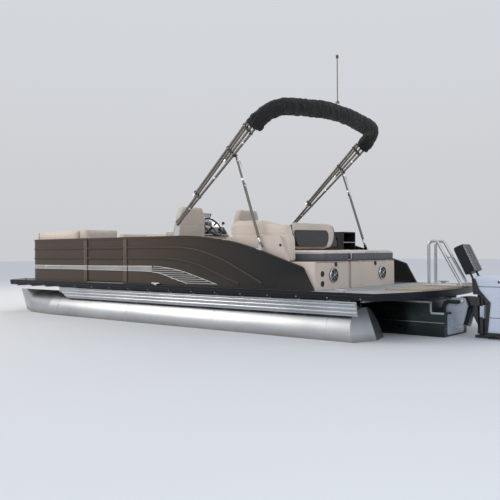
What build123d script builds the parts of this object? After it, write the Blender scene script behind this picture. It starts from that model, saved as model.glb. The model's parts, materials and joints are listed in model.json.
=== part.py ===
# Pontoon boat with three aluminium tubes, a fenced deck, a folded bimini and an outboard motor.
#
# Millimetres. X points to the bow, Y to port, Z up. The origin is on the centreline, half way
# along the deck, at the waterline. A place "from the stern" is a distance ahead of the deck's
# stern corners, and at() turns it into X. A height "on deck" is measured from the deck's top.
from build123d import *
from math import cos, radians, sin, sqrt, tan
import os

os.makedirs("parts", exist_ok=True)

# Deck
beam = 2590.0                 # over the rub rail
deck_length = 6800.0          # between the stern and bow corners
bow_reach = 220.0             # bow edge ahead of its corners
bow_corner_width = 300.0      # corner cut, across the boat
stern_reach = 280.0           # stern arc behind its corners
deck_top = 515.0              # above the water
deck_thickness = 20.0
rub_rail_height = 76.0
rub_rail_thickness = 22.0
rub_rail_band = 46.0          # height of the proud upper band
rub_rail_step = 7.0           # set-back of the lower band
platform_height = 18.0        # raised non-skid panel at the stern
platform_half_width = 610.0
platform_front = 255.0
platform_edge = 16.0
rest_gap = 0.3                # air between pieces that only rest together

# Hull
tube_radius = 317.5
tube_spacing = beam / 2 - 340.0  # outer tubes, from the centreline
tube_axis_z = 30.0
nose_start = deck_length - 1050.0
nose_middle = deck_length - 350.0
nose_tip = deck_length + 210.0
nose_rake = 26.0              # degrees, leading edge
tail_ridge = 168.0            # at the water
tail_lean = 0.37              # forward for each unit up
tail_depth = 105.0
keel_height = 26.0
keel_width = 14.0
centre_tube_start = 620.0
bow_eye = (deck_length + 200.0, 190.0)  # from the stern and above the water
bow_eye_radius = 13.0
bow_eye_thickness = 10.0
pod_half_width = 298.0
pod_top = 388.0
pod_bottom = -262.0
pod_well_front = -128.0       # step down in front of the motor
pod_well_floor = 266.0
transom = -285.0              # rear face of the pod
channel_height = 75.0         # cross channels under the deck
channel_flange = 42.0
channel_wall = 5.0
channel_pitch = 406.0
first_channel = 140.0
last_channel = deck_length - 160.0
channel_end_inset = 40.0
riser_offset = 110.0          # from each tube's middle
riser_wall = 6.0
riser_flange = 44.0
riser_start = 430.0
skirt_bottom_z = 268.0
skirt_bottom_y = beam / 2 - 88.0
skirt_top_y = beam / 2 - 55.0
skirt_wall = 8.0
skirt_rib_depth = 12.0
skirt_start = 240.0
skirt_end = deck_length - 1330.0
skirt_nose = 150.0            # rounded front end
skirt_foot_width = 24.0
skirt_foot_height = 8.0

# Fence
fence_outside = beam / 2 - 70.0
fence_thickness = 32.0
fence_height = 644.0
fence_aft = 790.0             # its foot
fence_knee = (945.0, 260.0)   # from the stern and on deck
fence_shoulder = 2164.0       # where the sloping top would meet the level top
fence_shoulder_radius = 4500.0
fence_front = deck_length - 440.0
fence_corner_radius = 250.0
side_gate_aft = 3990.0
side_gate_front = 4800.0
bow_gate_half = 400.0
gate_gap = 10.0
gate_floor_gap = 26.0
gate_thickness = 28.0
post_width = 88.0
post_proud = 8.0
top_rail_height = 30.0
top_rail_proud = 5.0
rib_width = 17.0
rib_proud = 6.0
# each rib: level height on deck, where it would turn down, foot from the stern, foot on deck
ribs = ((491.0, 2450.0, 1510.0, 66.0), (345.0, 2750.0, 1862.0, 46.0))
rib_bend = 2600.0
hinge_pin = 4.0
hinge_sleeve = 8.0
hinge_stand = 11.0            # sleeve's axis inboard of the fence's inner face
hinge_heights = (90.0, 500.0)
sleeve_length = 44.0

# Seats
base_height = 315.0
pad_thickness = 115.0
bench_aft = 800.0
bench_front = 2120.0
bench_port = 440.0
bench_starboard = -595.0
lounge_inner = 472.0
lounge_outer = fence_outside - 42.0
lounge_front = 2480.0
bow_lounge_aft = side_gate_front + 110.0
bow_lounge_front = fence_front - 45.0
bow_lounge_inner = fence_outside - 665.0
bow_lounge_back_top = 790.0
bow_lounge_bolster = 140.0
lounge_air = 12.0             # between the bow lounges and the fence
lounge_back = (fence_outside - 245.0, fence_outside - 135.0)  # backrest, its two sides
lounge_panel = (fence_outside - 125.0, fence_outside - 82.0)  # moulded panel outboard
swing_pivot = (1270.0, 60.0)  # from the stern and on deck
swing_pin = 8.0
swing_arm = 12.0
swing_arm_gap = 8.0           # between the bench and each arm
swing_foot = 470.0            # lower edge of the backrest, on deck
swing_rest = 1650.0
swing_lean = 14.0
swing_back_height = 315.0
swing_panel = 34.0
chair_place = ((3640.0, 500.0), (3560.0, -620.0))
wheel_stand_off = 100.0       # centre of the wheel above the dash
wheel_radius = 180.0
console_aft = 4230.0          # its foot
console_front = console_aft + 620.0
dash_low = (console_aft - 50.0, 700.0)  # sloping dash, from the stern and on deck
dash_high = (console_aft + 70.0, 850.0)
console_top = (console_aft + 330.0, 940.0)
console_brow = (console_aft + 550.0, 880.0)
console_waist = 640.0         # height of the upright front
console_outer = fence_outside - 45.0
console_inner = console_outer - 680.0  # side towards the centreline
foot_space_depth = 330.0      # ahead of the foot
foot_space_low = 60.0
foot_space_high = 480.0
foot_space_wall = 60.0
wheel_y = -console_inner - 260.0
screen_inset = 30.0
screen_lean = 88.0
screen_thickness = 12.0
screen_height = 140.0
cubby_aft = 1700.0
cubby_front = 2010.0
cubby_inner = 800.0
cubby_outer = fence_outside - 85.0
cubby_height = 700.0
cubby_wall = 22.0
cubby_shelves = ((400.0, 545.0), (560.0, 684.0))  # each opening, low and high
speaker_radius = 82.0
speaker_places = (816.0, -282.0)
speaker_height = 160.0

# Bimini: the frame leans aft in one sloping plane through its two pivots
pivot_s = 2925.0
pivot_on_deck = 785.0
pole_y = fence_outside - 16.0
pole_radius = 16.0
pole_slope = 40.8             # degrees above the deck
# each leg: its lower end up the slope, lift there, lift where it enters the boot
legs = ((0.0, 0.0, -42.0), (40.0, 20.0, 72.0), (480.0, 68.0, 112.0), (1130.0, 14.0, 16.0))
pole_clips = (520.0, 1265.0, 1620.0)
leg_end_gap = 0.8             # the legs meet the boot's end at a slight angle
boot_start = 1700.0           # up the slope from the pivot
boot_corner = 2020.0
boot_crown = 2190.0
boot_corner_radius = 320.0
boot_half_width = 118.0
boot_half_depth = 104.0
light_offset = 40.0           # aft of the crown's middle
light_stem = 7.0
light_height = 640.0
pivot_pin = 5.0
pivot_ear = 6.0
pin_play = 0.06               # between a pin and its bore, on the radius
strut_s = 1566.0
strut_on_deck = 500.0
strut_y = fence_outside - 57.0
strut_radius = 12.5
strut_eye = 17.0
strut_reach = 1265.0          # where it meets the pole, up the slope

# Ladder
ladder_foot = (176.0, -300.0) # front leg of the near hoop, from the stern and Y
ladder_skew = 8.0
hoop_spacing = 270.0
hoop_top_run = 100.0
hoop_depth = 385.0
hoop_height = 525.0
hoop_tube = 17.0
ladder_pivot = (540.0, 40.0)  # outward and up, in the ladder's own axes
ladder_pin = 6.0
ladder_arm = 10.0
ladder_lean = 25.0
ladder_length = 440.0
ladder_rail = 12.0
ladder_half = 150.0           # rails, from the ladder's middle
tread_width = 340.0
tread_thickness = 112.0
first_tread = 128.0           # its lower edge, along the rails
tread_pitch = 103.0

# Outboard
tilt_axis = (-415.0, 392.0)   # from the stern and above the water
clamp_half = 132.0
clamp_plate = 24.0
hose_radius = 21.0
steer_s = -590.0
motor_half_width = 205.0
motor_frame_half = 150.0
swivel_top = 462.0
shaft_z = -478.0
shaft_radius = 12.0
case_radius = 48.0
case_length = 225.0


def at(s):
    return s - deck_length / 2


def block(s0, s1, y0, y1, z0, z1):
    return Pos(at(s0), y0, z0) * Box(s1 - s0, y1 - y0, z1 - z0, align=(Align.MIN,) * 3)


def pad(s0, s1, y0, y1, z0, z1, radius=30.0):
    solid = block(s0, s1, y0, y1, z0, z1)
    return fillet(solid.edges(), radius)


def rod(a, b, radius):
    a, b = Vector(*a), Vector(*b)
    return extrude(Plane(a, z_dir=b - a) * Circle(radius), (b - a).length)


def side_face(points):
    """Face in the X and Z directions from places (from the stern, above the water)."""
    return make_face(Plane.XZ * Polyline(*[(at(s), z) for s, z in points], close=True))


def side_plate(face, y0, y1):
    return Pos(0, y1, 0) * extrude(face, y1 - y0, dir=(0, -1, 0))


def bent_tube(points, radii, radius):
    path = FilletPolyline(*points, radius=radii)
    return sweep(Plane(path @ 0, z_dir=path % 0) * Circle(radius), path=path)


def to_starboard(shape):
    return mirror(shape, about=Plane.XZ)


def on_deck(z):
    return deck_top + z


# Hull

def deck_outline(inset=0.0):
    half = beam / 2
    corner = (at(0), half)
    edge = Polyline(corner, (at(deck_length), half),
                    (at(deck_length) + bow_reach, half - bow_corner_width),
                    (at(deck_length) + bow_reach, bow_corner_width - half),
                    (at(deck_length), -half), (at(0), -half))
    stern = ThreePointArc((at(0), -half), (at(-stern_reach), 0), corner)
    face = make_face([*edge.edges(), stern])
    if inset:
        face = offset(face, -inset, kind=Kind.INTERSECTION)
    return face


def slab(outline, z0, z1):
    return Pos(0, 0, z0) * extrude(outline, z1 - z0)


def make_deck():
    return slab(deck_outline(rub_rail_thickness + rest_gap), on_deck(-deck_thickness), deck_top)


def make_rub_rail():
    inner = deck_outline(rub_rail_thickness)
    upper = slab(deck_outline() - inner, on_deck(-rub_rail_band), deck_top)
    lower = slab(deck_outline(rub_rail_step) - inner, on_deck(-rub_rail_height),
                 on_deck(-rub_rail_band))
    return upper + lower


def make_platform():
    panel = slab(deck_outline(rub_rail_thickness + platform_edge), deck_top,
                 on_deck(platform_height))
    return panel & block(-stern_reach, platform_front, -platform_half_width,
                         platform_half_width, 0, on_deck(100))


def nose_section(s, half_width, top, bottom, rake):
    """Closed section of four arcs in a plane that leans forward by rake degrees."""
    plane = Plane((at(s), 0, top), x_dir=(0, 1, 0),
                  z_dir=(cos(radians(rake)), 0, -sin(radians(rake))))
    depth = (top - bottom) / cos(radians(rake))
    middle = -depth / 2
    k = sqrt(0.5)
    corners = [(0, 0), (half_width, middle), (0, -depth), (-half_width, middle)]
    mids = [(half_width * k, middle * (1 - k)), (half_width * k, middle * (1 + k)),
            (-half_width * k, middle * (1 + k)), (-half_width * k, middle * (1 - k))]
    arcs = [ThreePointArc(corners[i], mids[i], corners[(i + 1) % 4]) for i in range(4)]
    return Wire([plane * arc.edge() for arc in arcs])


def make_tube(start, wedge_tail=True):
    """Round tube along X with a folded nose; its axis is at Y = 0."""
    top = tube_axis_z + tube_radius
    bottom = tube_axis_z - tube_radius
    body = extrude(Plane((at(start), 0, tube_axis_z), x_dir=(0, 1, 0), z_dir=(1, 0, 0))
                   * Circle(tube_radius), nose_start - start)
    if wedge_tail:
        side = tube_radius + 20
        chevron = make_face(Polyline((at(tail_ridge), 0), (at(tail_ridge + tail_depth), side),
                                     (at(nose_tip), side), (at(nose_tip), -side),
                                     (at(tail_ridge + tail_depth), -side), close=True))
        lean = Vector(tail_lean, 0, 1)
        reach = (top + 60) * lean.length
        body = body & extrude(chevron, reach, dir=lean.normalized(), both=True)
    # each section: from the stern, half width, top, bottom, rake
    sections = ((nose_start, tube_radius, top, bottom, 0.0),
                (nose_middle, tube_radius * 0.72, top, bottom + 75, nose_rake * 0.5),
                (nose_tip, 5.0, top, 10.0, nose_rake))
    nose = Solid.make_loft([nose_section(*section) for section in sections], ruled=True)
    keel = block(start + tail_depth + 60, nose_start, -keel_width / 2, keel_width / 2,
                 bottom - keel_height, bottom + 12)
    return body + nose + keel


def make_centre_tube():
    """The middle tube also carries the bow eye for a winch strap."""
    tube = make_tube(centre_tube_start, wedge_tail=False)
    s, z = bow_eye
    plate = block(s - 110, s + 30, -bow_eye_thickness / 2, bow_eye_thickness / 2, z - 34, z + 34)
    hole = rod((at(s), -50, z), (at(s), 50, z), bow_eye_radius)
    return tube + plate - hole


def make_pod():
    profile = side_face([(centre_tube_start, pod_top), (pod_well_front, pod_top),
                         (pod_well_front - 8, pod_well_floor + 40),
                         (pod_well_front - 45, pod_well_floor),
                         (transom, pod_well_floor), (transom, pod_bottom + 40),
                         (transom + 30, pod_bottom), (centre_tube_start, pod_bottom - 20)])
    body = side_plate(profile, -pod_half_width, pod_half_width)
    lower = body.edges().filter_by(Axis.X, tolerance=6).filter_by(
        lambda e: e.center().Z < pod_bottom + 30)
    return chamfer(lower, 110)


def make_channels():
    z1 = on_deck(-deck_thickness)
    z0 = z1 - channel_height
    half = beam / 2 - channel_end_inset
    count = round((last_channel - first_channel) / channel_pitch) + 1
    solids = []
    for i in range(count):
        s = first_channel + (last_channel - first_channel) * i / (count - 1)
        w, t = channel_flange, channel_wall
        profile = side_face([(s, z0), (s + w, z0), (s + w, z0 + t), (s + t, z0 + t),
                             (s + t, z1 - t), (s + w, z1 - t), (s + w, z1), (s, z1)])
        solids.append(side_plate(profile, -half, half))
    return Compound(solids)


def make_risers():
    under = on_deck(-deck_thickness) - channel_height
    drop = sqrt(tube_radius ** 2 - (riser_offset - riser_wall) ** 2)
    foot = tube_axis_z + drop + rest_gap
    solids = []
    for y, start in ((tube_spacing, riser_start), (0, centre_tube_start + 40),
                     (-tube_spacing, riser_start)):
        for side in (1, -1):
            outer = y + side * riser_offset
            inner = outer - side * riser_wall
            flange = outer + side * riser_flange
            web = block(start, nose_start, min(outer, inner), max(outer, inner), foot, under)
            top = block(start, nose_start, min(flange, outer), max(flange, outer),
                        under - riser_wall, under)
            solids.append(web + top)
    return Compound(solids)


def make_skirt():
    """Ribbed skirt on the port side, with feet down to the tube."""
    top_z = on_deck(-deck_thickness) - channel_height
    rise = top_z - skirt_bottom_z
    lean = (skirt_top_y - skirt_bottom_y) / rise
    lip = 12.0
    pitch = (rise - 2 * lip) / 3

    def outer(z):
        return skirt_bottom_y + skirt_wall + lean * (z - skirt_bottom_z)

    edges = []
    z = skirt_bottom_z
    last = (outer(z), z)
    first = last
    for i in range(3):
        low = skirt_bottom_z + lip + i * pitch + 4
        high = low + pitch - 8
        middle = (low + high) / 2
        edges.append(Line(last, (outer(low), low)))
        edges.append(ThreePointArc((outer(low), low), (outer(middle) + skirt_rib_depth, middle),
                                   (outer(high), high)))
        last = (outer(high), high)
    edges.append(Polyline(last, (outer(top_z), top_z), (skirt_top_y, top_z),
                          (skirt_bottom_y, skirt_bottom_z), first))
    profile = make_face([edge for line in edges for edge in line.edges()])
    plane = Plane((at(skirt_start), 0, 0), x_dir=(0, 1, 0), z_dir=(1, 0, 0))
    panel = extrude(plane * profile, skirt_end - skirt_start)
    corner = side_face([(skirt_end - skirt_nose, skirt_bottom_z - 1), (skirt_end + 1, top_z - 40),
                        (skirt_end + 1, skirt_bottom_z - 1)])
    panel = panel - side_plate(corner, 1100, 1400)
    foot_top = skirt_bottom_z + 20
    foot_y = skirt_bottom_y + lean * 20
    foot_low = foot_top - skirt_foot_height
    surface = tube_spacing + sqrt(tube_radius ** 2 - (foot_low - tube_axis_z) ** 2) + rest_gap
    s = first_channel + 2 * channel_pitch
    while s < skirt_end - skirt_nose:
        panel = panel + block(s, s + skirt_foot_width, surface, foot_y + 2, foot_low, foot_top)
        s += channel_pitch
    return panel


# Fence

def fence_face(s0, s1):
    """Side view of the aft fence: steep foot, long slope, then level to the front."""
    knee_s, knee_z = fence_knee
    points = [(fence_aft, 0.0), (knee_s, knee_z), (fence_shoulder, fence_height),
              (fence_front, fence_height)]
    top = FilletPolyline(*[(at(s), on_deck(z)) for s, z in points],
                         radius=[60.0, fence_shoulder_radius])
    floor = Polyline((at(fence_front), on_deck(fence_height)), (at(fence_front), deck_top),
                     (at(fence_aft), deck_top))
    face = Plane.XZ * make_face([*top.edges(), *floor.edges()])
    window = Plane.XZ * (Pos(at((s0 + s1) / 2), on_deck(fence_height / 2))
                         * Rectangle(s1 - s0, fence_height * 2))
    return face & window


def fence_top_face(s0, s1):
    """The band that the top rail covers, seen from the side."""
    full = fence_face(s0, s1)
    return full - Pos(0, 0, -top_rail_height) * full - Plane.XZ * (
        Pos(at(fence_aft), on_deck(0)) * Rectangle(400, 2 * fence_knee[1] - 60))


def rib_face(rib, s1):
    level, turn, foot_s, foot_z = rib
    path = FilletPolyline((at(foot_s), on_deck(foot_z)), (at(turn), on_deck(level)),
                          (at(s1), on_deck(level)), radius=rib_bend)
    return Plane.XZ * trace(path, rib_width)


def make_aft_fence(s1, with_post):
    """Port aft fence up to s1."""
    inside = fence_outside - fence_thickness
    panel = side_plate(fence_face(fence_aft, s1), inside, fence_outside)
    rail = side_plate(fence_top_face(fence_aft, s1), inside - top_rail_proud,
                      fence_outside + top_rail_proud)
    panel = panel + rail
    for rib in ribs:
        panel = panel + side_plate(rib_face(rib, s1), fence_outside, fence_outside + rib_proud)
    if with_post:
        panel = panel + block(s1 - post_width, s1, inside, fence_outside + post_proud,
                              deck_top, on_deck(fence_height))
    return panel


def bow_face(s0, grow):
    """Rounded outline of the bow fence seen from above; grow moves it out or in."""
    length = 2 * (fence_front + grow - s0)
    radius = fence_corner_radius + grow
    return Pos(at(s0), 0) * RectangleRounded(length, 2 * (fence_outside + grow), radius)


def bow_ring(outer, inner, z0, z1, s0):
    """Part of the rounded fence round the bow, ahead of s0."""
    ring = slab(bow_face(s0, outer) - bow_face(s0, inner), z0, z1)
    return ring & block(s0, fence_front + 50, -beam / 2, beam / 2, z0, z1)


def make_bow_fence(s0, with_post):
    """Port bow fence from s0 round the corner to the bow gate."""
    ring = bow_ring(0, -fence_thickness, deck_top, on_deck(fence_height), s0)
    ring = ring + bow_ring(top_rail_proud, -fence_thickness - top_rail_proud,
                           on_deck(fence_height - top_rail_height), on_deck(fence_height), s0)
    for rib in ribs:
        level = on_deck(rib[0])
        ring = ring + bow_ring(rib_proud, -2, level - rib_width / 2, level + rib_width / 2, s0)
    port = block(s0, fence_front + 50, bow_gate_half, beam / 2, deck_top, on_deck(fence_height))
    ring = ring & port
    inside = fence_outside - fence_thickness
    if with_post:
        ring = ring + block(s0, s0 + post_width, inside, fence_outside + post_proud, deck_top,
                            on_deck(fence_height))
    gate_post = block(fence_front - fence_thickness, fence_front + post_proud, bow_gate_half,
                      bow_gate_half + post_width / 2, deck_top, on_deck(fence_height))
    ring = ring + gate_post
    if with_post:
        ring = ring + side_hinge(hinge_fixed()) + bow_hinge(hinge_fixed(40.0))
    return ring


def make_starboard_fence():
    split = side_gate_front
    return to_starboard(make_aft_fence(split, False) + make_bow_fence(split, False))


def hinge_fixed(leaf=50.0):
    """Pins and ears on a post: the hinge axis is Z, the post lies towards +X at Y = stand."""
    solids = None
    for z in hinge_heights:
        pin = Pos(0, 0, z - 7) * Cylinder(hinge_pin, sleeve_length + 14, align=(
            Align.CENTER, Align.CENTER, Align.MIN))
        solids = pin if solids is None else solids + pin
        for low in (z - 7, z + sleeve_length + 1):
            ear = Pos(0, 0, low) * Box(leaf, hinge_stand + 0.5, 6, align=(Align.MIN,) * 3)
            cap = Pos(0, 0, low) * Cylinder(hinge_sleeve, 6, align=(
                Align.CENTER, Align.CENTER, Align.MIN))
            solids = solids + ear + cap
    return solids


def hinge_moving(leaf=50.0):
    """Sleeves and leaves on a gate that lies towards -X."""
    solids = None
    for z in hinge_heights:
        sleeve = Pos(0, 0, z) * Cylinder(hinge_sleeve, sleeve_length, align=(
            Align.CENTER, Align.CENTER, Align.MIN))
        plate = Pos(-leaf, 0, z) * Box(leaf, hinge_stand + 0.5, sleeve_length,
                                       align=(Align.MIN,) * 3)
        bore = Pos(0, 0, z - 5) * Cylinder(hinge_pin + pin_play, sleeve_length + 10, align=(
            Align.CENTER, Align.CENTER, Align.MIN))
        part = sleeve + plate - bore
        solids = part if solids is None else solids + part
    return solids


def side_hinge(shape):
    y = fence_outside - fence_thickness - hinge_stand
    return Pos(at(side_gate_front - gate_gap / 2), y, deck_top) * shape


def bow_hinge(shape):
    """The bow gate hangs on its port post and opens aft."""
    x = at(fence_front - fence_thickness - hinge_stand)
    return Pos(x, bow_gate_half - gate_gap / 2, deck_top) * Rot(0, 0, 90) * mirror(
        shape, about=Plane.XZ)


def make_side_gate():
    s0, s1 = side_gate_aft + gate_gap, side_gate_front - gate_gap
    inside = fence_outside - fence_thickness
    z0, z1 = on_deck(gate_floor_gap), on_deck(fence_height)
    gate = block(s0, s1, inside, inside + gate_thickness, z0, z1)
    gate = gate + block(s0, s1, inside - top_rail_proud, fence_outside + top_rail_proud,
                        z1 - top_rail_height, z1)
    for rib in ribs:
        level = on_deck(rib[0])
        gate = gate + block(s0, s1, inside + gate_thickness, fence_outside + rib_proud,
                            level - rib_width / 2, level + rib_width / 2)
    return gate + side_hinge(hinge_moving())


def make_bow_gate():
    half = bow_gate_half - gate_gap
    outside = fence_front
    z0, z1 = on_deck(gate_floor_gap), on_deck(fence_height)
    gate = block(outside - fence_thickness, outside - fence_thickness + gate_thickness, -half,
                 half, z0, z1)
    gate = gate + block(outside - fence_thickness - top_rail_proud, outside + top_rail_proud,
                        -half, half, z1 - top_rail_height, z1)
    for rib in ribs:
        level = on_deck(rib[0])
        gate = gate + block(outside - fence_thickness + gate_thickness, outside + rib_proud,
                            -half, half, level - rib_width / 2, level + rib_width / 2)
    return gate + bow_hinge(hinge_moving())


# Seats

def make_bow_lounge_base():
    room = slab(bow_face(4000, -fence_thickness - lounge_air), deck_top,
                on_deck(base_height - rest_gap))
    body = room & block(bow_lounge_aft, bow_lounge_front, bow_lounge_inner + 20, fence_outside,
                        deck_top, on_deck(base_height - rest_gap))
    kick = block(bow_lounge_aft - 1, bow_lounge_front, bow_lounge_inner, bow_lounge_inner + 60,
                 deck_top, on_deck(60))
    return body - kick


def make_bow_lounge_pads():
    """Seat, tall backrest at the aft end, and bolsters along the fence and across the bow."""
    side = fence_outside - fence_thickness - lounge_air
    z0, z1 = on_deck(base_height), on_deck(base_height + pad_thickness)
    top = on_deck(bow_lounge_back_top)
    bolster_top = top - 12
    front = bow_lounge_front
    bolster = bow_lounge_bolster
    seat = pad(bow_lounge_aft + 190, front - 170, bow_lounge_inner, side - bolster - 8, z0, z1)
    back = pad(bow_lounge_aft, bow_lounge_aft + 180, bow_lounge_inner, side, z0, top)
    along = pad(bow_lounge_aft + 190, front - 170, side - bolster, side, z0, bolster_top)
    room = slab(bow_face(4000, -fence_thickness - lounge_air), z0, bolster_top)
    end = room & block(front - 160, front, bow_lounge_inner, fence_outside, z0, bolster_top)
    end = fillet(end.edges().filter_by(lambda e: e.center().Z > bolster_top - 1), 24)
    return Compound([seat, back, along, end])


def make_aft_lounge_base():
    """Box under the long lounge, with a moulded panel up behind the backrest."""
    body = block(bench_aft, lounge_front, lounge_inner, lounge_outer, deck_top,
                 on_deck(base_height - rest_gap))
    low = on_deck(base_height - 20)
    panel = side_face([(1185, low), (2130, low), (2130, on_deck(612)), (1312, on_deck(612)),
                       (1204, on_deck(354))])
    return body + side_plate(panel, *lounge_panel)


def make_aft_lounge_pads():
    z0, z1 = on_deck(base_height), on_deck(base_height + pad_thickness)
    seat = pad(bench_aft - 15, lounge_front, lounge_inner, lounge_back[0] - 10, z0, z1)
    profile = side_face([(1180, z0), (2130, z0), (2130, on_deck(770)), (2030, on_deck(820)),
                         (1640, on_deck(820)), (1250, on_deck(742)), (1180, on_deck(560))])
    back = side_plate(profile, *lounge_back)
    back = fillet(back.edges(), 22)
    return Compound([seat, back])


def make_bench_base():
    body = block(bench_aft, bench_front - 40, bench_starboard, bench_port, deck_top,
                 on_deck(base_height - rest_gap))
    s, z = swing_pivot
    for y, out in ((bench_port, 1), (bench_starboard, -1)):
        boss_end = y + out * (swing_arm_gap - rest_gap)
        pin_end = y + out * (swing_arm_gap + swing_arm + 3)
        body = body + rod((at(s), y - out, on_deck(z)), (at(s), boss_end, on_deck(z)), 24)
        body = body + rod((at(s), y - out, on_deck(z)), (at(s), pin_end, on_deck(z)), swing_pin)
    kick = block(bench_front - 110, bench_front, bench_starboard - 1, bench_port + 1, deck_top,
                 on_deck(70))
    return body - kick


def make_bench_pads():
    z0, z1 = on_deck(base_height), on_deck(base_height + pad_thickness)
    aft = pad(bench_aft - 15, 1440, bench_starboard, bench_port, z0, z1)
    fore = pad(1446, bench_front, bench_starboard, bench_port, z0, z1)
    return Compound([aft, fore])


def swing_frame(shape):
    """Place a shape drawn upright over the backrest's foot."""
    return Pos(at(swing_rest), 0, on_deck(swing_foot)) * Rot(0, swing_lean, 0) * shape


def make_swing_back():
    """Two arms, and the moulded shell of the backrest."""
    width = bench_port - bench_starboard - 60
    middle = (bench_port + bench_starboard) / 2
    shell = Pos(0, middle, swing_back_height / 2 + 10) * Box(swing_panel, width,
                                                             swing_back_height - 20)
    shell = fillet(shell.edges().filter_by(Axis.X), 60)
    solids = swing_frame(shell)
    pivot = Vector(at(swing_pivot[0]), 0, on_deck(swing_pivot[1]))
    for y, out in ((bench_port, 1), (bench_starboard, -1)):
        low = y + out * swing_arm_gap
        high = low + out * swing_arm
        y0, y1 = min(low, high), max(low, high)
        eye = rod((pivot.X, low, pivot.Z), (pivot.X, high, pivot.Z), 28)
        bar = side_face([(swing_pivot[0] - 22, pivot.Z - 6), (swing_pivot[0] + 24, pivot.Z - 12),
                         (swing_rest + 34, on_deck(swing_foot + 40)),
                         (swing_rest + 40, on_deck(swing_foot + 150)),
                         (swing_rest + 6, on_deck(swing_foot + 150)),
                         (swing_rest - 10, on_deck(swing_foot + 40))])
        arm = eye + side_plate(bar, y0, y1)
        bore = rod((pivot.X, low - out * 5, pivot.Z), (pivot.X, high + out * 5, pivot.Z),
                   swing_pin + pin_play)
        shell_edge = middle + out * (width / 2 - 1)
        tie = swing_frame(Pos(0, (shell_edge + low + out) / 2, 85)
                          * Box(24, abs(low + out - shell_edge), 50))
        solids = solids + arm + tie - bore
    return solids


def make_swing_pads():
    width = bench_port - bench_starboard - 70
    middle = (bench_port + bench_starboard) / 2
    solids = []
    for side, thick in ((1, 70.0), (-1, 22.0)):
        x = side * (swing_panel / 2 + rest_gap + thick / 2)
        cushion = Pos(x, middle, swing_back_height / 2 + 14) * Box(thick, width,
                                                                   swing_back_height + 10)
        solids.append(swing_frame(fillet(cushion.edges(), thick * 0.3)))
    return Compound(solids)


def chair_axis(place):
    return Pos(at(place[0]), place[1], 0)


def make_chair_posts():
    solids = []
    for place in chair_place:
        foot = Pos(0, 0, deck_top) * Cylinder(150, 16, align=(Align.CENTER,) * 2 + (Align.MIN,))
        post = Pos(0, 0, deck_top) * Cylinder(38, 290, align=(Align.CENTER,) * 2 + (Align.MIN,))
        solids.append(chair_axis(place) * (foot + post))
    return Compound(solids)


def make_chair(place):
    """Swivel chair: plate, bucket and tall back, drawn over its post."""
    plate = Pos(0, 0, on_deck(290.5)) * Box(300, 300, 20, align=(Align.CENTER,) * 2 + (Align.MIN,))
    seat = Pos(10, 0, on_deck(310)) * Box(500, 500, 130, align=(Align.CENTER,) * 2 + (Align.MIN,))
    seat = fillet(seat.edges().filter_by(Axis.Z), 60)
    back_side = make_face(Plane.XZ * Polyline((-245, on_deck(400)), (-130, on_deck(400)),
                                              (-170, on_deck(1000)), (-200, on_deck(1090)),
                                              (-285, on_deck(1090)), (-300, on_deck(1020)),
                                              close=True))
    back = side_plate(back_side, -255, 255)
    back = fillet(back.edges().filter_by(lambda e: e.center().Z > on_deck(1085)), 28)
    chair = plate + seat + back
    for side in (1, -1):
        arm = Pos(0, side * 262, 0) * make_arm()
        chair = chair + arm
    return chair_axis(place) * chair


def make_arm():
    profile = make_face(Plane.XZ * Polyline((-230, on_deck(420)), (-230, on_deck(640)),
                                            (150, on_deck(610)), (180, on_deck(560)),
                                            (-80, on_deck(540)), (-110, on_deck(420)),
                                            close=True))
    return side_plate(profile, -30, 30)


def make_console():
    """Helm console with a raked dash and an open foot space facing aft."""
    z = deck_top
    width = console_outer - console_inner
    lip = dash_low[0] + 20
    profile = side_face([(console_aft, z), (console_front, z), (console_front, z + console_waist),
                         (console_brow[0], z + console_brow[1]),
                         (console_top[0], z + console_top[1]),
                         (dash_high[0], z + dash_high[1]), (dash_low[0], z + dash_low[1]),
                         (lip, z + dash_low[1] - 60), (console_aft, z + console_waist - 80)])
    body = side_plate(profile, -console_outer, -console_inner)
    body = fillet(body.edges().filter_by(lambda e: e.length > width - 80), 18)
    foot_space = block(console_aft - 130, console_aft + foot_space_depth,
                       foot_space_wall - console_outer, -console_inner - foot_space_wall,
                       z + foot_space_low, z + foot_space_high)
    return body - foot_space


def make_windscreen():
    """Flat raked pane that stands on the console."""
    top_s, top_z = console_top
    fall = (console_brow[1] - top_z) / (console_brow[0] - top_s)
    low = 80.0
    high = low + screen_thickness
    foot = [(top_s + s, on_deck(top_z + fall * s + rest_gap)) for s in (low, high)]
    crest = on_deck(top_z + screen_height)
    profile = side_face(foot + [(top_s + high - screen_lean, crest),
                                (top_s + low - screen_lean, crest)])
    return side_plate(profile, screen_inset - console_outer, -console_inner - screen_inset)


def make_wheel():
    rise = dash_high[1] - dash_low[1]
    run = dash_high[0] - dash_low[0]
    slope = sqrt(rise ** 2 + run ** 2)
    normal = Vector(-rise / slope, 0, run / slope)
    dash = Vector(at((dash_low[0] + dash_high[0]) / 2), wheel_y,
                  on_deck((dash_low[1] + dash_high[1]) / 2))
    plane = Plane(dash + normal * wheel_stand_off, x_dir=(0, 1, 0), z_dir=normal)
    rim = Torus(wheel_radius, 13)
    hub = Cylinder(34, 26)
    wheel = rim + hub
    for i in range(3):
        spoke = Rot(0, 0, 90 + 120 * i) * Pos(wheel_radius / 2, 0, 0) * Box(wheel_radius - 10, 26, 8)
        wheel = wheel + spoke
    column = Pos(0, 0, rest_gap - wheel_stand_off) * Cylinder(
        17, wheel_stand_off, align=(Align.CENTER,) * 2 + (Align.MIN,))
    wheel = wheel + column
    return plane * wheel


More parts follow.
